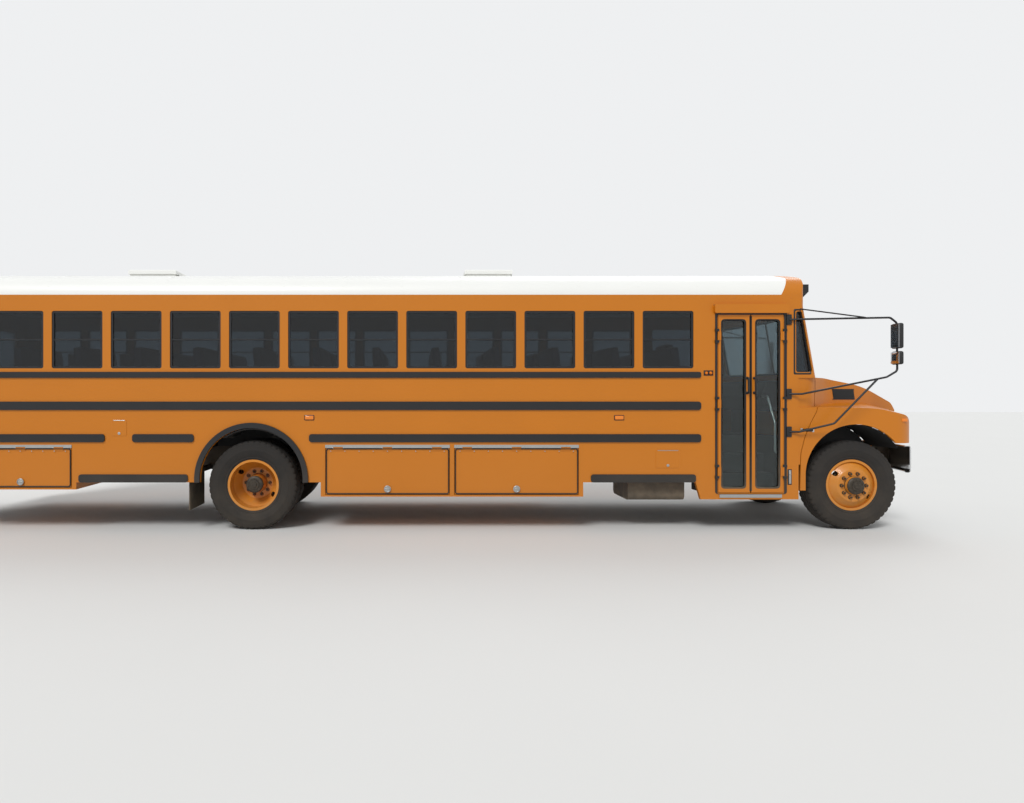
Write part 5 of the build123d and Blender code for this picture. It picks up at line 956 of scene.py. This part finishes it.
def make_latch(rubber, steel, catches, sign):
    """A rubber strap on the hood, which hooks over a catch on the cowl."""
    turn = on_side(sign)
    inward = (0, -sign, 0)
    face = abs(surface(["hood"], (4.56, BESIDE * sign, LATCH_Z), inward)[0].y)
    latch_piece(rubber, 4.515, 4.60, face, -0.003, 0.010, 0.018, 0.006, 3, turn)
    latch_piece(rubber, 4.475, 4.53, face, 0.001, 0.009, 0.012, 0.004, 3, turn)
    latch_piece(steel, 4.585, 4.612, face, -0.002, 0.006, 0.025, 0.003, 2, turn)
    face = abs(surface(["cowl", "hood"], (4.47, BESIDE * sign, LATCH_Z), inward)[0].y)
    latch_piece(catches, 4.452, 4.482, face, -0.003, 0.006, 0.02, 0.003, 2, turn)


def make_grille_surround(rubber):
    """A proud rim round the grille, as deep as the hood's face is at each point."""
    outer = loop(rectangle(-0.572, 1.032, 0.572, 1.418), 0.03, 8)
    inner = loop(rectangle(-0.548, 1.050, 0.548, 1.400), 0.02, 8)
    found = [surface(["hood"], (AHEAD, p.x, p.y), BACKWARD) for p in outer + inner]
    known = [hit[0].x for hit in found if hit]
    mean = sum(known) / len(known)
    faces_x = [hit[0].x if hit else mean for hit in found[:len(outer)]]
    rings = []
    for line, proud in ((inner, -0.004), (inner, 0.008), (outer, 0.006), (outer, -0.002)):
        rings.append([(x_at + proud, p.x, p.y) for x_at, p in zip(faces_x, line)])
    rubber.add(*closed_rings(rings))


def make_hood_details():
    rubber, dark, steel, catches = Shape(), Shape(), Shape(), Shape()
    for sign in SIGNS:
        make_liners(dark, on_side(sign))
        make_vent(dark, sign)
        make_latch(rubber, steel, catches, sign)
        for y_at in BOWL_YS:
            steel.add(*lathe([(BOWL_R, 0.02), (BOWL_R + 0.003, 0.022), (BOWL_R - 0.006, 0.004),
                              (0.045, -0.012), (0.020, -0.022), (0.019, 0.004), (0.012, 0.008), (0.002, 0.009)], 36, "X"),
                      place(5.776, sign * y_at, 1.165))
    make_grille_surround(rubber)
    rubber.finish("hood_rubber", "hood", BLACK)
    dark.finish("hood_liners", "hood", PLASTIC)
    steel.finish("hood_fittings", "hood", CHROME)
    catches.finish("hood_catches", "bus_body", STEEL)


FRONT_DRUM = [(0.05, 1.03), (0.21, 1.03), (0.21, 1.085), (0.20, 1.085), (0.20, 1.04), (0.05, 1.04)]
REAR_DRUM = [(0.08, 0.62), (0.21, 0.62), (0.21, 0.80), (0.08, 0.80)]


def make_drums():
    """Brake drums inside the rims."""
    for side, sign in SIDES:
        for end, axle_x, section in (("front", FRONT_AXLE_X, FRONT_DRUM), ("rear", REAR_AXLE_X, REAR_DRUM)):
            drum = Shape().add(*lathe(section, 48, "Y", closed=True),
                               place(axle_x, 0, TYRE_R) @ on_side(sign))
            drum.finish(f"{end}_drum_{side}", wheel_body(end, side), CHASSIS)


# Windshield: gasket, centre post and wipers, on the glass
def on_glass(y_at, z_at):
    found = surface(["fixed_glass"], (AHEAD, y_at, z_at), BACKWARD)
    return found[0] if found else None


def gasket_path(outline):
    """Points on the glass along an outline, close together on its straight stretches."""
    path = []
    for i, p in enumerate(outline):
        after = outline[(i + 1) % len(outline)]
        steps = 8 if (after - p).length >= 0.05 else 1
        path += [on_glass(*p.lerp(after, step / 8)) for step in range(steps)]
    path = [point for point in path if point]
    return path + [path[0]]


def make_windshield():
    rubber, wipers = Shape(), Shape()
    outline = loop(rectangle(-1.072, 1.852, 1.072, 2.533), 0.06, 8)
    rubber.add(*tube(gasket_path(outline), 0.016, 8))
    rubber.add(*tube([on_glass(0, 1.855 + 0.0675 * k) for k in range(11)], 0.014, 8))
    for sign in (-1, 1):
        pivot = surface(["front_frame", "cowl", "front_cap"], (AHEAD, sign * 0.62, 1.815), BACKWARD)[0]
        wipers.add(*lathe([(0.02, -0.01), (0.02, 0.012), (0.014, 0.022)], 20, "X"), place(*pivot))
        arm, blade = [pivot + Vector((0.016, 0, 0))], []
        for k in range(9):
            t = k / 8
            lift = Vector((0.030 - 0.010 * t, 0, 0))
            arm.append(on_glass(sign * (0.62 - 0.24 * t), 1.86 + 0.34 * t) + lift)
            blade.append(on_glass(sign * (0.52 - 0.26 * t), 1.93 + 0.5 * t) + Vector((0.012, 0, 0)))
        wipers.add(*tube(arm, 0.006, 8))
        wipers.add(*tube(blade, 0.008, 8))
    rubber.finish("windshield_gasket", "bus_body", BLACK)
    wipers.finish("wipers", "bus_body", PLASTIC)


# Roof: lapped seams over the bows, kept off the hatches, and rivets under the gutter
SEAM_FIRST_X = 3.26
SEAM_PITCH = 0.685
SEAM_HALF = 1.20
HATCH_XS = (0.93, -3.40)
HATCH_CLEAR = 0.36
RIVETS = 110
RIVET_Z = 2.700


def make_roof_seams():
    seams, rivets = Shape(), Shape()
    for index in range(14):
        x_at = SEAM_FIRST_X - SEAM_PITCH * index
        if any(abs(x_at - hatch_x) <= HATCH_CLEAR for hatch_x in HATCH_XS):
            continue
        found = [surface(["roof"], (x_at, SEAM_HALF * (step / 20 - 1), ABOVE), DOWN) for step in range(41)]
        seams.add(*tube([hit[0] for hit in found if hit], 0.0045, 6))
    for sign in SIGNS:
        for index in range(RIVETS):
            x_at = -5.86 + 10.2 * index / (RIVETS - 1)
            rivets.add(*lathe([(0.0065, 1.217), (0.0065, 1.2205), (0.0035, 1.2225)], 8),
                       on_side(sign) @ place(x_at, 0, RIVET_Z))
    seams.finish("roof_seams", "bus_body", ROOF)
    rivets.finish("gutter_rivets", "bus_body", PAINT)


# Stop sign: a white border and two lamps on each face, and no words
STOP_CENTRE = Vector((3.161, 1.640))
STOP_APOTHEM = 0.225


def make_stop_sign():
    white, red = Shape(), Shape()
    corner_r = STOP_APOTHEM / math.cos(math.pi / 8)
    angles = [math.pi / 8 + math.pi / 4 * k for k in range(8)]
    octagon = [STOP_CENTRE + corner_r * Vector((math.cos(a), math.sin(a))) for a in angles]
    inner = [STOP_CENTRE + (p - STOP_CENTRE) * 0.93 for p in octagon]
    for face, out, sign in ((1.2745, 1.2765, 1), (1.2535, 1.2515, -1)):
        white.add(*band(octagon, inner, face, out))
        for z_off in (0.15, -0.15):
            at = place(STOP_CENTRE.x, out, STOP_CENTRE.y + z_off) @ on_side(sign)
            red.add(*lathe([(0.036, 0.0), (0.036, 0.006), (0.028, 0.013), (0.012, 0.016), (0.002, 0.0165)],
                           28), at)
    white.finish("stop_border", "stop_sign", ROOF)
    red.finish("stop_lamps", "stop_sign", RED_LENS)


make_lamps()
make_markers()
make_leaf("entrance_front", (3.934, 4.205), (3.8745, 3.8875), 3.913)
make_leaf("entrance_rear", (3.539, 3.810), (3.8565, 3.8695), 3.831)
make_doorway()
make_quarter_windows()
for door_end in ("front", "middle", "rear"):
    for door_side, door_sign in SIDES:
        make_luggage_door(door_end, door_side, door_sign)
make_service_doors()
make_bumper()
make_hood_details()
make_drums()
make_windshield()
make_rear_details()
make_roof_seams()
make_stop_sign()


# Stage, light and camera
def make_stage():
    mesh = bpy.data.meshes.new("stage_floor")
    reach = 60
    mesh.from_pydata([(-reach, -reach, 0), (reach, -reach, 0), (reach, reach, 0), (-reach, reach, 0)], [],
                     [(0, 1, 2, 3)])
    floor = bpy.data.objects.new("stage_floor", mesh)
    bpy.context.scene.collection.objects.link(floor)
    mesh.materials.append(make_material("stage_pale", srgb(216, 216, 214), 0.9, vary=0.02, vary_scale=0.4,
                                        grain_deep=0.0))


def make_light():
    world = bpy.data.worlds.new("studio")
    bpy.context.scene.world = world
    world.use_nodes = True
    nodes, links = world.node_tree.nodes, world.node_tree.links
    fill = nodes["Background"]
    fill.inputs["Color"].default_value = (0.96, 0.98, 1.0, 1)
    fill.inputs["Strength"].default_value = 0.55
    seen = nodes.new("ShaderNodeBackground")
    seen.inputs["Color"].default_value = (0.86, 0.87, 0.88, 1)
    seen.inputs["Strength"].default_value = 1.0
    path = nodes.new("ShaderNodeLightPath")
    either = nodes.new("ShaderNodeMath")
    either.operation = "MAXIMUM"
    links.new(path.outputs["Is Camera Ray"], either.inputs[0])
    links.new(path.outputs["Is Glossy Ray"], either.inputs[1])
    any_of = nodes.new("ShaderNodeMath")
    any_of.operation = "MAXIMUM"
    links.new(either.outputs["Value"], any_of.inputs[0])
    links.new(path.outputs["Is Transmission Ray"], any_of.inputs[1])
    mix = nodes.new("ShaderNodeMixShader")
    links.new(any_of.outputs["Value"], mix.inputs["Fac"])
    links.new(fill.outputs["Background"], mix.inputs[1])
    links.new(seen.outputs["Background"], mix.inputs[2])
    links.new(mix.outputs["Shader"], nodes["World Output"].inputs["Surface"])
    for name, direction, strength, wide in (("key", (0.35, 0.8, -0.85), 1.9, 0.35),
                                            ("back", (-0.4, -0.8, -0.9), 0.8, 0.6)):
        lamp = bpy.data.lights.new(name, "SUN")
        lamp.energy = strength
        lamp.angle = wide
        holder = bpy.data.objects.new(name, lamp)
        holder.rotation_euler = Vector(direction).to_track_quat("-Z", "Y").to_euler()
        bpy.context.scene.collection.objects.link(holder)


def make_camera():
    """The photograph's view: level, square to the right side, with the frame shifted forward."""
    data = bpy.data.cameras.new("photo_view")
    data.sensor_width = 36.0
    data.lens = 25.0
    data.shift_x = 0.092
    data.shift_y = -0.0054
    data.clip_end = 200.0
    camera = bpy.data.objects.new("photo_view", data)
    camera.location = (0.017, -9.46, 1.564)
    camera.rotation_euler = (math.radians(90), 0, 0)
    bpy.context.scene.collection.objects.link(camera)
    bpy.context.scene.camera = camera


make_stage()
make_light()
make_camera()
bpy.context.scene.view_settings.view_transform = "Standard"
